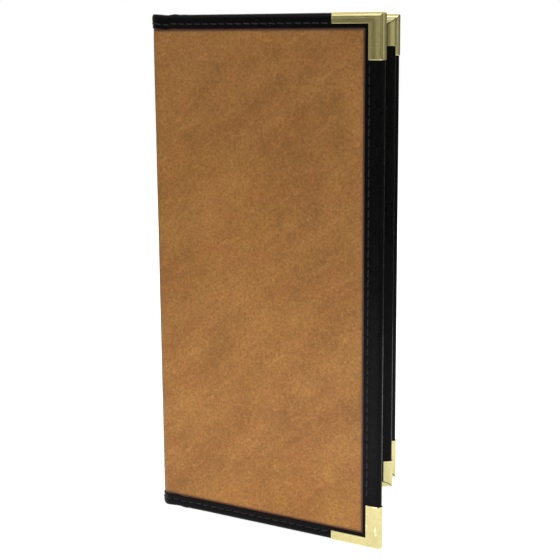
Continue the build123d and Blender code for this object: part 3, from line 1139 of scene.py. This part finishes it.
@dataclass(frozen=True)
class Leaf:
    """The middle leaf: lined core, two clear pockets, binding, thread, corners and its fabric hinge.

    Attributes:
        panel: The leaf's coordinates.
        bend: Distance either side of its axis over which the fabric hinge would bend; it is not made to
            bend.
    """

    panel: LeafPanel
    bend: float = 1.2

    def core(self) -> bpy.types.Object:
        """Makes the black lined core.

        Returns:
            The piece.
        """
        half = BUILD.leaf_core_half
        return Layer(
            "middle_lined_core", self.panel, near=BUILD.leaf_start,
            outer=lambda s, z: half + weave_unevenness(s, z),
            inner=lambda s, z: -(half + weave_unevenness(s, z)),
            step_s=2.0, step_z=6.0, **self.panel.tucked).build()

    def film(self, side: str, sign: float) -> bpy.types.Object:
        """Makes one clear pocket, a little bowed.

        Args:
            side: The side's name.
            sign: 1 on the side towards the back cover, -1 on the other.

        Returns:
            The piece.
        """
        panel = self.panel
        near = BUILD.leaf_start + BUILD.pocket_setback
        sheet = Pocket(near, far=panel.reach - BUILD.side_width, foot=11.0, tall=278.0,
                       bow=0.15, ripple=0.05, pace=0.083, start=sign)
        return Layer(
            f"middle_{side}_clear_pocket", panel, near=near,
            outer=lambda s, z: sign * (BUILD.leaf_film_outer - 0.05 + sheet.level(s, z)),
            inner=lambda s, z: sign * (BUILD.leaf_film_inner + sheet.level(s, z)),
            step_s=2.5, step_z=3.0, **panel.tucked).build()

    def tab(self) -> bpy.types.Object:
        """Makes the fabric strip between the spine's lining and the leaf.

        Its section is a rounded bar: half |cos a|^(1/2) across and reach |sin a|^(1/4) up, each with
        the sign of its cosine or sine.

        Returns:
            The piece.
        """
        s = np.linspace(-1.6, BUILD.leaf_start + 0.6, 9)[:, None]
        around = np.linspace(0.0, 2.0 * np.pi, 17)[None, :-1]
        half = BUILD.tab_half - 0.1
        middle = (BUILD.tab_low + BUILD.tab_high) / 2
        reach = (BUILD.tab_high - BUILD.tab_low) / 2 - 0.4
        n = half * np.sign(np.cos(around)) * np.abs(np.cos(around)) ** 0.5
        z = middle + reach * np.sign(np.sin(around)) * np.abs(np.sin(around)) ** 0.25
        return closed_runs("leaf_carrier", self.panel.place(s, n, z)[None])

    def build(self, looks: Looks) -> list[bpy.types.Object]:
        """Makes and dresses the leaf.

        Args:
            looks: The finishes.

        Returns:
            All its pieces.
        """
        panel = self.panel
        core = looks.dress(self.core(), Slot.LINING)
        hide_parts("middle_core")
        near = looks.dress(self.film("front", -1.0), Slot.FILM)
        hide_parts("middle_front_pocket")
        rear = looks.dress(self.film("rear", 1.0), Slot.FILM)
        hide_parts("middle_rear_pocket")
        binding = Binding(panel)
        edge = looks.dress(binding.build(), Slot.BINDING)
        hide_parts("middle_top_binding", "middle_side_binding", "middle_bottom_binding")
        thread = looks.dress(binding.stitches(), Slot.THREAD)
        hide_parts("middle_stitching")
        for piece in (core, near, rear, edge, thread):
            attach(piece, panel.body)
        carrier = looks.dress(self.tab(), Slot.LINING)
        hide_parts("spine_leaf_strip", "middle_hinge_tab")
        follow_both(carrier, panel, -self.bend, self.bend, 0.0)
        return [core, near, rear, edge, thread, carrier, *build_caps(panel, looks)]


class Slot(Enum):
    """The record's material slots."""

    LEATHER = "leather"
    BINDING = "binding"
    THREAD = "thread"
    LINING = "lining"
    BOARD = "board"
    FILM = "film"
    BRASS = "brass"


Socket = bpy.types.NodeSocket


class Tree:
    """Short ways to add nodes to one node tree."""

    def __init__(self, tree: bpy.types.NodeTree) -> None:
        """Keeps the tree that nodes are added to."""
        self.tree = tree

    def add(self, kind: str, **settings: object) -> bpy.types.Node:
        """Adds a node.

        Args:
            kind: Its kind.
            **settings: Its properties.

        Returns:
            The node.
        """
        node = self.tree.nodes.new(kind)
        for key, value in settings.items():
            setattr(node, key, value)
        return node

    def feed(self, socket: Socket, value: object) -> None:
        """Links a socket to an output, or sets its constant."""
        if isinstance(value, bpy.types.NodeSocket):
            self.tree.links.new(value, socket)
        else:
            socket.default_value = value

    def math(self, operation: str, a: object, b: object = 0.0, clamp: bool = False) -> Socket:
        """Adds a math node of two values.

        Args:
            operation: What is done with them.
            a: The first value, a number or an output.
            b: The second one.
            clamp: Whether the result is kept between 0 and 1.

        Returns:
            The result.
        """
        node = self.add("ShaderNodeMath", operation=operation, use_clamp=clamp)
        self.feed(node.inputs[0], a)
        self.feed(node.inputs[1], b)
        return node.outputs[0]

    def above(self, base: object, value: Socket, share: float) -> Socket:
        """Adds a share of a value to a base."""
        return self.math("ADD", base, self.math("MULTIPLY", value, share))

    def mix(self, share: object, a: object, b: object) -> Socket:
        """Mixes two colours.

        Args:
            share: Share of the second one.
            a: The first colour.
            b: The second colour.

        Returns:
            The mixture.
        """
        node = self.add("ShaderNodeMix", data_type="RGBA")
        self.feed(node.inputs["Factor"], share)
        self.feed(node.inputs[6], a)
        self.feed(node.inputs[7], b)
        return node.outputs[2]

    def tint(self, tone: object, mask: Socket, share: float, colour: Colour) -> Socket:
        """Mixes a colour into a tone by a share of a mask."""
        return self.mix(self.math("MULTIPLY", mask, share), tone, colour)

    def noise(self, vector: Socket, scale: object, detail: float, rough: float = 0.6,
              stretch: Place = (1.0, 1.0, 1.0)) -> Socket:
        """Adds noise over a stretched vector.

        Args:
            vector: Where it is evaluated.
            scale: How fine it is.
            detail: How many finer layers it has.
            rough: Strength of each finer layer over the one before.
            stretch: Factors on the vector; a smaller one draws the pattern out that way.

        Returns:
            Its value.
        """
        place = self.add("ShaderNodeMapping")
        self.feed(place.inputs["Vector"], vector)
        place.inputs["Scale"].default_value = stretch
        node = self.add("ShaderNodeTexNoise")
        self.feed(node.inputs["Vector"], place.outputs[0])
        self.feed(node.inputs["Scale"], scale)
        node.inputs["Detail"].default_value = detail
        node.inputs["Roughness"].default_value = rough
        return node.outputs["Fac"]

    def span(self, value: Socket, low: float, high: float, to_low: float = 0.0,
             to_high: float = 1.0) -> Socket:
        """Stretches a value's range onto another, with eased ends.

        Args:
            value: The value.
            low: Start of its range.
            high: End of its range.
            to_low: What its start becomes.
            to_high: What its end becomes.

        Returns:
            The stretched value.
        """
        node = self.add("ShaderNodeMapRange", interpolation_type="SMOOTHSTEP")
        self.feed(node.inputs["Value"], value)
        ends = {"From Min": low, "From Max": high, "To Min": to_low, "To Max": to_high}
        for key, number in ends.items():
            node.inputs[key].default_value = number
        return node.outputs[0]

    def seen(self) -> Socket:
        """Tells rays of the camera, of gloss and of clear pieces from those that only carry light.

        Returns:
            1 for the first three kinds, else 0.
        """
        path = self.add("ShaderNodeLightPath")
        rays = [path.outputs[f"Is {kind} Ray"] for kind in ("Camera", "Glossy", "Transmission")]
        return self.math("MAXIMUM", rays[0], self.math("MAXIMUM", rays[1], rays[2]))


def new_group(
        name: str, inputs: dict[str, tuple[str, object]], outputs: dict[str, str],
) -> tuple[bpy.types.NodeTree, Tree, bpy.types.Node, bpy.types.Node]:
    """Starts a shader node group.

    Args:
        name: The group's name.
        inputs: Socket type and default of each input.
        outputs: Socket type of each output.

    Returns:
        The group, its helper, its input node and its output node.
    """
    group = bpy.data.node_groups.new(name, "ShaderNodeTree")
    for key, (kind, default) in inputs.items():
        socket = group.interface.new_socket(key, in_out="INPUT", socket_type=kind)
        if default is not None:
            socket.default_value = default
    for key, kind in outputs.items():
        group.interface.new_socket(key, in_out="OUTPUT", socket_type=kind)
    tree = Tree(group)
    return group, tree, tree.add("NodeGroupInput"), tree.add("NodeGroupOutput")


FLOAT = "NodeSocketFloat"
VECTOR = "NodeSocketVector"


def mottle_group() -> bpy.types.NodeTree:
    """Clouds of tone at three sizes, with slanting streaks and slanting soft swirls.

    The tone is the mean of patches and blotches; speckle, streaks and swirls are masks of their own.

    Returns:
        The group.
    """
    group, tree, put, out = new_group(
        "cloudy_mottle",
        {"Vector": (VECTOR, None), "Patch Scale": (FLOAT, 11.0), "Blotch Scale": (FLOAT, 60.0),
         "Speckle Scale": (FLOAT, 420.0)},
        {"Tone": FLOAT, "Speckle": FLOAT, "Streak": FLOAT, "Swirl": FLOAT})
    vector = put.outputs["Vector"]
    patch = tree.noise(vector, put.outputs["Patch Scale"], 2.0, 0.5)
    blotch = tree.noise(vector, put.outputs["Blotch Scale"], 5.0, 0.62)
    speckle = tree.noise(vector, put.outputs["Speckle Scale"], 3.0)
    slant = tree.add("ShaderNodeVectorRotate", rotation_type="Y_AXIS")
    tree.feed(slant.inputs["Vector"], vector)
    slant.inputs["Angle"].default_value = math.radians(-36.0)
    streak = tree.noise(slant.outputs[0], 300.0, 4.0, 0.65, (0.3, 1.0, 1.3))
    swirl = tree.noise(slant.outputs[0], 38.0, 4.0, 0.58, (0.36, 1.0, 1.3))
    tone = tree.above(tree.math("MULTIPLY", patch, 0.5), blotch, 0.5)
    tree.feed(out.inputs["Tone"], tree.span(tone, 0.28, 0.72))
    tree.feed(out.inputs["Speckle"], tree.span(speckle, 0.35, 0.7))
    tree.feed(out.inputs["Streak"], tree.span(streak, 0.55, 0.75))
    tree.feed(out.inputs["Swirl"], tree.span(swirl, 0.38, 0.66))
    return group


def grain_group() -> bpy.types.NodeTree:
    """Pebbled grain: rounded cells broken up by noise, given as a height and as a mask of the creases.

    The height is 1 less the distance from a cell's middle, plus noise times the unevenness.

    Returns:
        The group.
    """
    group, tree, put, out = new_group(
        "pebble_grain",
        {"Vector": (VECTOR, None), "Scale": (FLOAT, 900.0), "Unevenness": (FLOAT, 0.5)},
        {"Height": FLOAT, "Crease": FLOAT})
    vector = put.outputs["Vector"]
    cells = tree.add("ShaderNodeTexVoronoi", feature="SMOOTH_F1")
    cells.inputs["Smoothness"].default_value = 0.35
    tree.feed(cells.inputs["Vector"], vector)
    tree.feed(cells.inputs["Scale"], put.outputs["Scale"])
    rough = tree.noise(vector, put.outputs["Scale"], 2.0)
    height = tree.math("SUBTRACT", 1.0, cells.outputs["Distance"])
    mixed = tree.math("ADD", height, tree.math("MULTIPLY", rough, put.outputs["Unevenness"]))
    tree.feed(out.inputs["Height"], mixed)
    tree.feed(out.inputs["Crease"], tree.span(cells.outputs["Distance"], 0.45, 0.8))
    return group


def weave_group() -> bpy.types.NodeTree:
    """Plain weave: sin(pi t x) sin(pi t z) with t threads to the metre, given as a height.

    Returns:
        The group.
    """
    group, tree, put, out = new_group(
        "plain_weave", {"Vector": (VECTOR, None), "Threads": (FLOAT, 1600.0)}, {"Height": FLOAT})
    split = tree.add("ShaderNodeSeparateXYZ")
    tree.feed(split.inputs[0], put.outputs["Vector"])
    turns = tree.math("MULTIPLY", put.outputs["Threads"], math.pi)
    waves = [tree.math("SINE", tree.math("MULTIPLY", split.outputs[axis], turns)) for axis in "XZ"]
    tree.feed(out.inputs["Height"], tree.math("MULTIPLY", waves[0], waves[1]))
    return group


def wear_group() -> bpy.types.NodeTree:
    """Rubbed edges: pointed places of the surface, broken up by noise, given as a mask.

    Returns:
        The group.
    """
    group, tree, put, out = new_group(
        "rubbed_edges",
        {"Vector": (VECTOR, None), "Breakup Scale": (FLOAT, 300.0), "Amount": (FLOAT, 1.0)},
        {"Mask": FLOAT})
    shape = tree.add("ShaderNodeNewGeometry")
    edge = tree.span(shape.outputs["Pointiness"], 0.515, 0.56)
    breakup = tree.noise(put.outputs["Vector"], put.outputs["Breakup Scale"], 4.0)
    worn = tree.math("MULTIPLY", edge, tree.span(breakup, 0.35, 0.65))
    tree.feed(out.inputs["Mask"], tree.math("MULTIPLY", worn, put.outputs["Amount"], clamp=True))
    return group


@dataclass(frozen=True)
class Groups:
    """The shared effects: clouds of tone, pebbled grain, plain weave and rubbed edges."""

    mottle: bpy.types.NodeTree
    grain: bpy.types.NodeTree
    weave: bpy.types.NodeTree
    wear: bpy.types.NodeTree


class Finish:
    """A material under way: its tree, its shader and the place vector that its patterns read."""

    def __init__(self, name: str, own: bool = True) -> None:
        """Starts a material.

        Args:
            name: The material's name.
            own: Whether patterns follow the piece's own panel coordinates, or else Object ones.
        """
        self.material = bpy.data.materials.new(name)
        self.material.use_nodes = True
        self.material.node_tree.nodes.clear()
        self.tree = Tree(self.material.node_tree)
        self.shader = self.tree.add("ShaderNodeBsdfPrincipled")
        output = self.tree.add("ShaderNodeOutputMaterial")
        self.tree.feed(output.inputs["Surface"], self.shader.outputs[0])
        if own:
            self.place = self.tree.add("ShaderNodeAttribute", attribute_name="lay").outputs["Vector"]
        else:
            self.place = self.tree.add("ShaderNodeTexCoord").outputs["Object"]

    def set(self, **values: object) -> None:
        """Feeds the shader's sockets, whose names are written with underscores for spaces."""
        for key, value in values.items():
            self.tree.feed(self.shader.inputs[key.replace("_", " ")], value)

    def effect(self, group: bpy.types.NodeTree, **values: object) -> bpy.types.Node:
        """Places a shared effect, reading the piece's place vector.

        Args:
            group: The effect.
            **values: Its other inputs, whose names are written with underscores for spaces.

        Returns:
            The placed effect.
        """
        node = self.tree.add("ShaderNodeGroup", node_tree=group)
        self.tree.feed(node.inputs["Vector"], self.place)
        for key, value in values.items():
            self.tree.feed(node.inputs[key.replace("_", " ")], value)
        return node

    def bump(self, height: Socket, distance: float, strength: float) -> None:
        """Feeds a height into the normal.

        Args:
            height: The height.
            distance: Metres of relief for a height of 1.
            strength: Share of the effect.
        """
        node = self.tree.add("ShaderNodeBump")
        node.inputs["Strength"].default_value = strength
        node.inputs["Distance"].default_value = distance
        self.tree.feed(node.inputs["Height"], height)
        self.set(Normal=node.outputs[0])


@dataclass(frozen=True)
class LeatherFinish:
    """Matt brown mottled leather look: clouds, swirls, specks, hairline creases, darker grain creases,
    and painted shade beside the binding's lip.
    """

    dark: Colour = (0.17, 0.064, 0.006, 1.0)
    light: Colour = (0.3, 0.132, 0.02, 1.0)
    pale: Colour = (0.42, 0.206, 0.05, 1.0)
    ruddy: Colour = (0.29, 0.098, 0.02, 1.0)
    fleck: Colour = (0.13, 0.046, 0.007, 1.0)
    fibre: Colour = (0.56, 0.3, 0.1, 1.0)
    # darker colour given to the grain's creases
    grain_crease_dark: Colour = (0.1, 0.04, 0.008, 1.0)
    # painted shade: near-black colour that stands in for the binding lip's shadow on the leather
    lip_shadow: Colour = (0.034, 0.008, 0.005, 1.0)

    def build(self, groups: Groups) -> bpy.types.Material:
        """Makes the material.

        Args:
            groups: The shared effects.

        Returns:
            The material.
        """
        make = Finish("brown_mottled_leather")
        tree = make.tree
        cloud = make.effect(groups.mottle, Speckle_Scale=560.0)
        grain = make.effect(groups.grain, Scale=1300.0, Unevenness=0.7)
        tone = tree.mix(cloud.outputs["Tone"], self.dark, self.light)
        warm = tree.noise(make.place, 52.0, 4.0, 0.65)
        tone = tree.mix(tree.span(warm, 0.42, 0.66, 0.0, 0.5), tone, self.ruddy)
        tone = tree.tint(tone, cloud.outputs["Swirl"], 0.27, self.pale)
        tone = tree.tint(tone, cloud.outputs["Speckle"], 0.55, self.fleck)
        fold = tree.noise(make.place, 210.0, 3.0, 0.62)
        crease = tree.math("ABSOLUTE", tree.math("SUBTRACT", fold, 0.5))
        tone = tree.mix(tree.span(crease, 0.0, 0.02, 0.17, 0.0), tone, self.fibre)
        glint = tree.noise(make.place, 780.0, 3.0)
        tone = tree.mix(tree.span(glint, 0.52, 0.76, 0.0, 0.22), tone, self.fibre)
        tone = tree.tint(tone, cloud.outputs["Streak"], 0.2, self.fibre)
        # darkens the grain's creases
        tone = tree.tint(tone, grain.outputs["Crease"], 0.25, self.grain_crease_dark)
        # painted shade: darkens the leather beside the binding's lip, as the lip's shadow would
        lip_shade = tree.add("ShaderNodeAttribute", attribute_name="lip_shade").outputs["Fac"]
        tone = tree.mix(tree.span(lip_shade, 0.22, 0.75, 0.0, 0.92), tone, self.lip_shadow)
        make.set(Base_Color=tone, Roughness=tree.above(0.45, cloud.outputs["Speckle"], 0.14),
                 Specular_IOR_Level=0.42)
        make.bump(tree.above(grain.outputs["Height"], cloud.outputs["Tone"], 0.8), 0.00008, 0.9)
        return make.material


@dataclass(frozen=True)
class BindingFinish:
    """Smooth black bookcloth-like binding with a soft sheen and slightly rubbed edges."""

    base: Colour = (0.0009, 0.0007, 0.0012, 1.0)
    faded: Colour = (0.0018, 0.0013, 0.002, 1.0)
    rubbed: Colour = (0.009, 0.0085, 0.0105, 1.0)

    def build(self, groups: Groups) -> bpy.types.Material:
        """Makes the material.

        Args:
            groups: The shared effects.

        Returns:
            The material.
        """
        make = Finish("black_edge_binding")
        tree = make.tree
        grain = make.effect(groups.grain, Scale=1900.0, Unevenness=0.6)
        cloud = make.effect(groups.mottle, Patch_Scale=40.0, Blotch_Scale=220.0, Speckle_Scale=1500.0)
        wear = make.effect(groups.wear, Breakup_Scale=260.0, Amount=0.7)
        tone = tree.mix(wear.outputs["Mask"], self.base, self.rubbed)
        tone = tree.tint(tone, cloud.outputs["Tone"], 0.35, self.faded)
        make.set(Base_Color=tone, Roughness=tree.above(0.24, cloud.outputs["Tone"], 0.1),
                 Specular_IOR_Level=0.085)
        make.bump(grain.outputs["Height"], 0.00005, 0.55)
        return make.material


@dataclass(frozen=True)
class ThreadFinish:
    """Black waxed thread, its twist showing as fine slanting ridges."""

    base: Colour = (0.006, 0.0055, 0.0065, 1.0)
    waxed: Colour = (0.024, 0.021, 0.026, 1.0)

    def build(self, groups: Groups) -> bpy.types.Material:
        """Makes the material.

        Args:
            groups: The shared effects.

        Returns:
            The material.
        """
        make = Finish("black_waxed_thread")
        tree = make.tree
        twist = tree.add("ShaderNodeTexWave", wave_type="BANDS", bands_direction="DIAGONAL")
        tree.feed(twist.inputs["Vector"], make.place)
        twist.inputs["Scale"].default_value = 420.0
        twist.inputs["Distortion"].default_value = 1.2
        cloud = make.effect(groups.mottle, Patch_Scale=60.0, Blotch_Scale=500.0, Speckle_Scale=2400.0)
        make.set(Base_Color=tree.tint(self.base, cloud.outputs["Tone"], 0.6, self.waxed),
                 Roughness=tree.above(0.3, cloud.outputs["Tone"], 0.15), Specular_IOR_Level=0.22)
        make.bump(twist.outputs["Fac"], 0.00007, 0.7)
        return make.material


@dataclass(frozen=True)
class LiningFinish:
    """Black plain-woven lining cloth."""

    base: Colour = (0.012, 0.0115, 0.0125, 1.0)
    lit: Colour = (0.028, 0.027, 0.03, 1.0)
    dusty: Colour = (0.02, 0.018, 0.019, 1.0)

    def build(self, groups: Groups) -> bpy.types.Material:
        """Makes the material.

        Args:
            groups: The shared effects.

        Returns:
            The material.
        """
        make = Finish("black_woven_lining")
        tree = make.tree
        weave = make.effect(groups.weave, Threads=2600.0)
        cloud = make.effect(groups.mottle, Patch_Scale=25.0, Blotch_Scale=140.0, Speckle_Scale=1100.0)
        raised = tree.span(weave.outputs["Height"], -1.0, 1.0)
        tone = tree.tint(self.base, raised, 0.35, self.lit)
        tone = tree.tint(tone, cloud.outputs["Tone"], 0.3, self.dusty)
        make.set(Base_Color=tone, Roughness=tree.above(0.72, raised, 0.1), Specular_IOR_Level=0.3)
        make.bump(weave.outputs["Height"], 0.00006, 0.6)
        return make.material


@dataclass(frozen=True)
class FilmFinish:
    """Clear flexible pocket film with faint waviness and finger haze."""

    hazy: Colour = (0.93, 0.95, 0.96, 1.0)
    clear: Colour = (0.98, 0.985, 0.99, 1.0)

    def build(self, groups: Groups) -> bpy.types.Material:
        """Makes the material.

        Args:
            groups: The shared effects.

        Returns:
            The material.
        """
        make = Finish("clear_pocket_film")
        tree = make.tree
        haze = make.effect(groups.mottle, Patch_Scale=14.0, Blotch_Scale=55.0, Speckle_Scale=400.0)
        make.set(Base_Color=tree.mix(haze.outputs["Tone"], self.hazy, self.clear),
                 Roughness=tree.above(0.05, haze.outputs["Tone"], 0.07),
                 Transmission_Weight=1.0, IOR=1.42)
        wave = tree.noise(make.place, 26.0, 2.0, 0.5, (1.6, 1.0, 0.7))
        make.bump(wave, 0.0006, 0.35)
        return make.material


@dataclass(frozen=True)
class BoardFinish:
    """Grey-brown binder's board inside the covers, with pressed fibres."""

    dark: Colour = (0.26, 0.22, 0.17, 1.0)
    light: Colour = (0.42, 0.37, 0.3, 1.0)

    def build(self, groups: Groups) -> bpy.types.Material:
        """Makes the material.

        Args:
            groups: The shared effects.

        Returns:
            The material.
        """
        make = Finish("pressed_grey_board", own=False)
        tree = make.tree
        cloud = make.effect(groups.mottle, Patch_Scale=60.0, Blotch_Scale=400.0, Speckle_Scale=1800.0)
        make.set(Base_Color=tree.mix(cloud.outputs["Tone"], self.dark, self.light),
                 Roughness=tree.above(0.8, cloud.outputs["Speckle"], 0.1))
        make.bump(cloud.outputs["Speckle"], 0.00008, 0.5)
        return make.material


@dataclass(frozen=True)
class BrassFinish:
    """Polished pale brass, thinly tarnished, with fine rub scratches."""

    bright: Colour = (0.67, 0.61, 0.305, 1.0)
    tarnish: Colour = (0.46, 0.39, 0.165, 1.0)
    rubbed: Colour = (0.93, 0.85, 0.6, 1.0)

    def build(self, groups: Groups) -> bpy.types.Material:
        """Makes the material.

        Args:
            groups: The shared effects.

        Returns:
            The material.
        """
        make = Finish("polished_brass")
        tree = make.tree
        cloud = make.effect(groups.mottle, Patch_Scale=120.0, Blotch_Scale=420.0, Speckle_Scale=2600.0)
        wear = make.effect(groups.wear, Breakup_Scale=500.0, Amount=0.8)
        dull = tree.math("MULTIPLY", cloud.outputs["Tone"], 0.4)
        tone = tree.mix(dull, self.bright, self.tarnish)
        tone = tree.mix(wear.outputs["Mask"], tone, self.rubbed)
        scratch = tree.span(tree.noise(make.place, 900.0, 3.0, 0.7, (0.12, 1.0, 1.6)), 0.62, 0.78)
        rough = tree.above(tree.above(0.17, dull, 0.22), scratch, 0.12)
        make.set(Base_Color=tone, Metallic=1.0, Roughness=rough)
        make.bump(tree.math("SUBTRACT", cloud.outputs["Tone"], scratch), 0.000006, 0.3)
        return make.material


class Looks:
    """All finishes, by material slot."""

    def __init__(self) -> None:
        """Builds the shared effects and each finish once."""
        groups = Groups(mottle_group(), grain_group(), weave_group(), wear_group())
        self.finishes: dict[Slot, bpy.types.Material] = {
            Slot.LEATHER: LeatherFinish().build(groups),
            Slot.BINDING: BindingFinish().build(groups),
            Slot.THREAD: ThreadFinish().build(groups),
            Slot.LINING: LiningFinish().build(groups),
            Slot.BOARD: BoardFinish().build(groups),
            Slot.FILM: FilmFinish().build(groups),
            Slot.BRASS: BrassFinish().build(groups),
        }

    def dress(self, piece: bpy.types.Object, slot: Slot) -> bpy.types.Object:
        """Gives a new piece the finish of a slot.

        Args:
            piece: The piece.
            slot: The slot.

        Returns:
            The same piece.
        """
        piece.data.materials.clear()
        piece.data.materials.append(self.finishes[slot])
        return piece

    def dress_boards(self) -> list[str]:
        """Gives the frame's own boards their finish.

        Returns:
            Their names.
        """
        boards = ["front_board", "back_board"]
        for node in boards:
            for place in frame["nodes"][node].material_slots:
                place.link = "OBJECT"
                place.material = self.finishes[Slot.BOARD]
        return boards


@dataclass(frozen=True)
class Lamp:
    """A soft rectangular lamp.

    Attributes:
        name: Its name.
        place: Where it hangs, in metres.
        aim: What it points at.
        size: Its width and height.
        power: Its power in watts.
        gloss: Whether gloss mirrors it.
    """

    name: str
    place: Place
    aim: Place
    size: tuple[float, float]
    power: float
    gloss: bool = True

    def hang(self) -> None:
        """Hangs the lamp in the scene."""
        data = bpy.data.lights.new(self.name, "AREA")
        data.shape = "RECTANGLE"
        data.size, data.size_y = self.size
        data.energy = self.power
        thing = bpy.data.objects.new(self.name, data)
        thing.location = self.place
        way = Vector(self.aim) - Vector(self.place)
        thing.rotation_mode = "XYZ"
        thing.rotation_euler = way.to_track_quat("-Z", "Y").to_euler("XYZ")
        thing.visible_camera = False
        thing.visible_glossy = self.gloss
        bpy.context.scene.collection.objects.link(thing)


LAMPS = (
    Lamp("key", (-0.75, -1.0, 1.15), (0.0, 0.0, 0.14), (0.9, 0.9), 6.5),
    Lamp("fill", (1.1, -0.9, 0.75), (0.0, 0.0, 0.15), (0.9, 0.9), 7.0),
    Lamp("rear", (0.2, 1.2, 0.9), (0.0, 0.0, 0.15), (1.0, 0.7), 9.0),
    Lamp("low front", (-0.24, -0.36, 0.02), (0.0, 0.0, 0.03), (0.4, 0.04), 0.75, False),
    Lamp("floor glow", (-0.084, -0.16, 0.015), (-0.01, -0.03, 0.02), (0.2, 0.02), 0.13, False),
)


@dataclass(frozen=True)
class Studio:
    """Camera, floor, surroundings and lamps of the picture.

    Attributes:
        eye: The camera's place, in metres.
        pitch: How far it looks down, in degrees.
        roll: How far it leans, in degrees.
        lens: Its focal length, in millimetres.
        floor_reach: Half of the floor's side.
        wall_radius: Radius of the ring of dark cloth.
        wall_height: Its height.
        wall_sides: How many sides the ring has.
        plain_light: Strength of the surroundings for all rays that carry light.
        floor_glow: What is added to the floor where it is seen, so that it shows white.
    """

    eye: Place = (-0.0008, -0.7583, 0.2913)
    pitch: float = 10.95
    roll: float = -0.4
    lens: float = 83.57
    floor_reach: float = 4.0
    wall_radius: float = 0.5
    wall_height: float = 0.46
    wall_sides: int = 64
    plain_light: float = 0.42
    floor_glow: float = 0.75

    def camera(self) -> None:
        """Sets the camera that sees the booklet as the photograph does."""
        data = bpy.data.cameras.new("view")
        data.lens = self.lens
        data.sensor_width = 36.0
        data.clip_start = 0.01
        thing = bpy.data.objects.new("view", data)
        thing.location = self.eye
        thing.rotation_mode = "XYZ"
        look = Matrix.Rotation(math.radians(90.0 - self.pitch), 3, "X")
        lean = Matrix.Rotation(math.radians(self.roll), 3, "Z")
        thing.rotation_euler = (look @ lean).to_euler("XYZ")
        bpy.context.scene.collection.objects.link(thing)
        bpy.context.scene.camera = thing

    def stand(self, name: str, verts: Array, faces: Array, make: Finish) -> bpy.types.Object:
        """Puts a piece of the set in the scene.

        Args:
            name: Its name.
            verts: Its points, in metres.
            faces: Vertex numbers of its four-sided faces.
            make: Its finish.

        Returns:
            The piece.
        """
        mesh = bpy.data.meshes.new(name)
        mesh.from_pydata(verts.tolist(), [], faces.tolist())
        mesh.materials.append(make.material)
        thing = bpy.data.objects.new(name, mesh)
        bpy.context.scene.collection.objects.link(thing)
        return thing

    def build(self) -> None:
        """Makes the whole studio."""
        bpy.context.scene.view_settings.view_transform = "Standard"
        self.camera()
        self.floor()
        self.world()
        self.dark_walls()
        for lamp in LAMPS:
            lamp.hang()

    def floor(self) -> None:
        """Lays the pale floor, which shows white to the camera and keeps the booklet's shadow."""
        make = Finish("pale_floor", own=False)
        tree = make.tree
        patchy = tree.noise(make.place, 3.0, 2.0, 0.55)
        make.set(Base_Color=tree.mix(patchy, (0.8, 0.8, 0.8, 1.0), (0.83, 0.83, 0.83, 1.0)),
                 Roughness=0.9, Specular_IOR_Level=0.0, Emission_Color=(1.0, 1.0, 1.0, 1.0),
                 Emission_Strength=tree.math("MULTIPLY", tree.seen(), self.floor_glow))
        corners = self.floor_reach * np.array([(-1, -1, 0), (1, -1, 0), (1, 1, 0), (-1, 1, 0)], float)
        self.stand("floor", corners, np.array([(0, 1, 2, 3)]), make)

    def dark_walls(self) -> None:
        """Stands a ring of dark cloth in upright bands round the set, which only gloss mirrors.

        Its points are (r cos a, r sin a) at the floor and at its top.
        """
        make = Finish("dark_wall_cloth", own=False)
        tree = make.tree
        bands = tree.span(tree.noise(make.place, 9.0, 3.0, stretch=(1.0, 1.0, 0.12)), 0.38, 0.6)
        make.set(Base_Color=tree.mix(bands, (0.12, 0.119, 0.1, 1.0), (0.64, 0.63, 0.52, 1.0)),
                 Roughness=1.0, Specular_IOR_Level=0.0)
        count = self.wall_sides
        turn = np.linspace(0.0, 2.0 * np.pi, count + 1)[:-1]
        ring = self.wall_radius * np.stack([np.cos(turn), np.sin(turn)], axis=1)
        levels = (0.0, self.wall_height)
        verts = np.concatenate([np.insert(ring, 2, level, axis=1) for level in levels])
        index = np.arange(count)
        after = (index + 1) % count
        faces = np.stack([index, after, after + count, index + count], axis=1)
        wall = self.stand("dark_wall", verts, faces, make)
        wall.visible_camera = False
        wall.visible_diffuse = False
        wall.visible_shadow = False
        wall.visible_transmission = False

    def world(self) -> None:
        """Sets white surroundings for the camera and for gloss, and an even plain level of light."""
        world = bpy.data.worlds.new("studio")
        bpy.context.scene.world = world
        world.use_nodes = True
        world.node_tree.nodes.clear()
        tree = Tree(world.node_tree)
        back = tree.add("ShaderNodeBackground")
        output = tree.add("ShaderNodeOutputWorld")
        tree.feed(output.inputs["Surface"], back.outputs[0])
        tree.feed(back.inputs["Color"], (1.0, 1.0, 1.0, 1.0))
        rest = 1.0 - self.plain_light
        tree.feed(back.inputs["Strength"], tree.above(self.plain_light, tree.seen(), rest))


def report_pieces(group: str, pieces: list[bpy.types.Object]) -> None:
    """Logs each piece of a group with its number of faces, one line a piece."""
    for piece in pieces:
        LOG.info("%s: %s, %d faces", group, piece.name, len(piece.data.polygons))


def main() -> None:
    """Builds the booklet's pieces, then the studio, and reports them."""
    logging.basicConfig(level=logging.INFO, format="%(message)s")
    looks = Looks()
    front, back, leaf = panels()
    report_pieces("front cover", Cover(front).build(looks))
    report_pieces("back cover", Cover(back).build(looks))
    report_pieces("middle leaf", Leaf(leaf).build(looks))
    LOG.info("boards from the frame: %s", ", ".join(looks.dress_boards()))
    Studio().build()


if __name__ == "__main__":
    main()
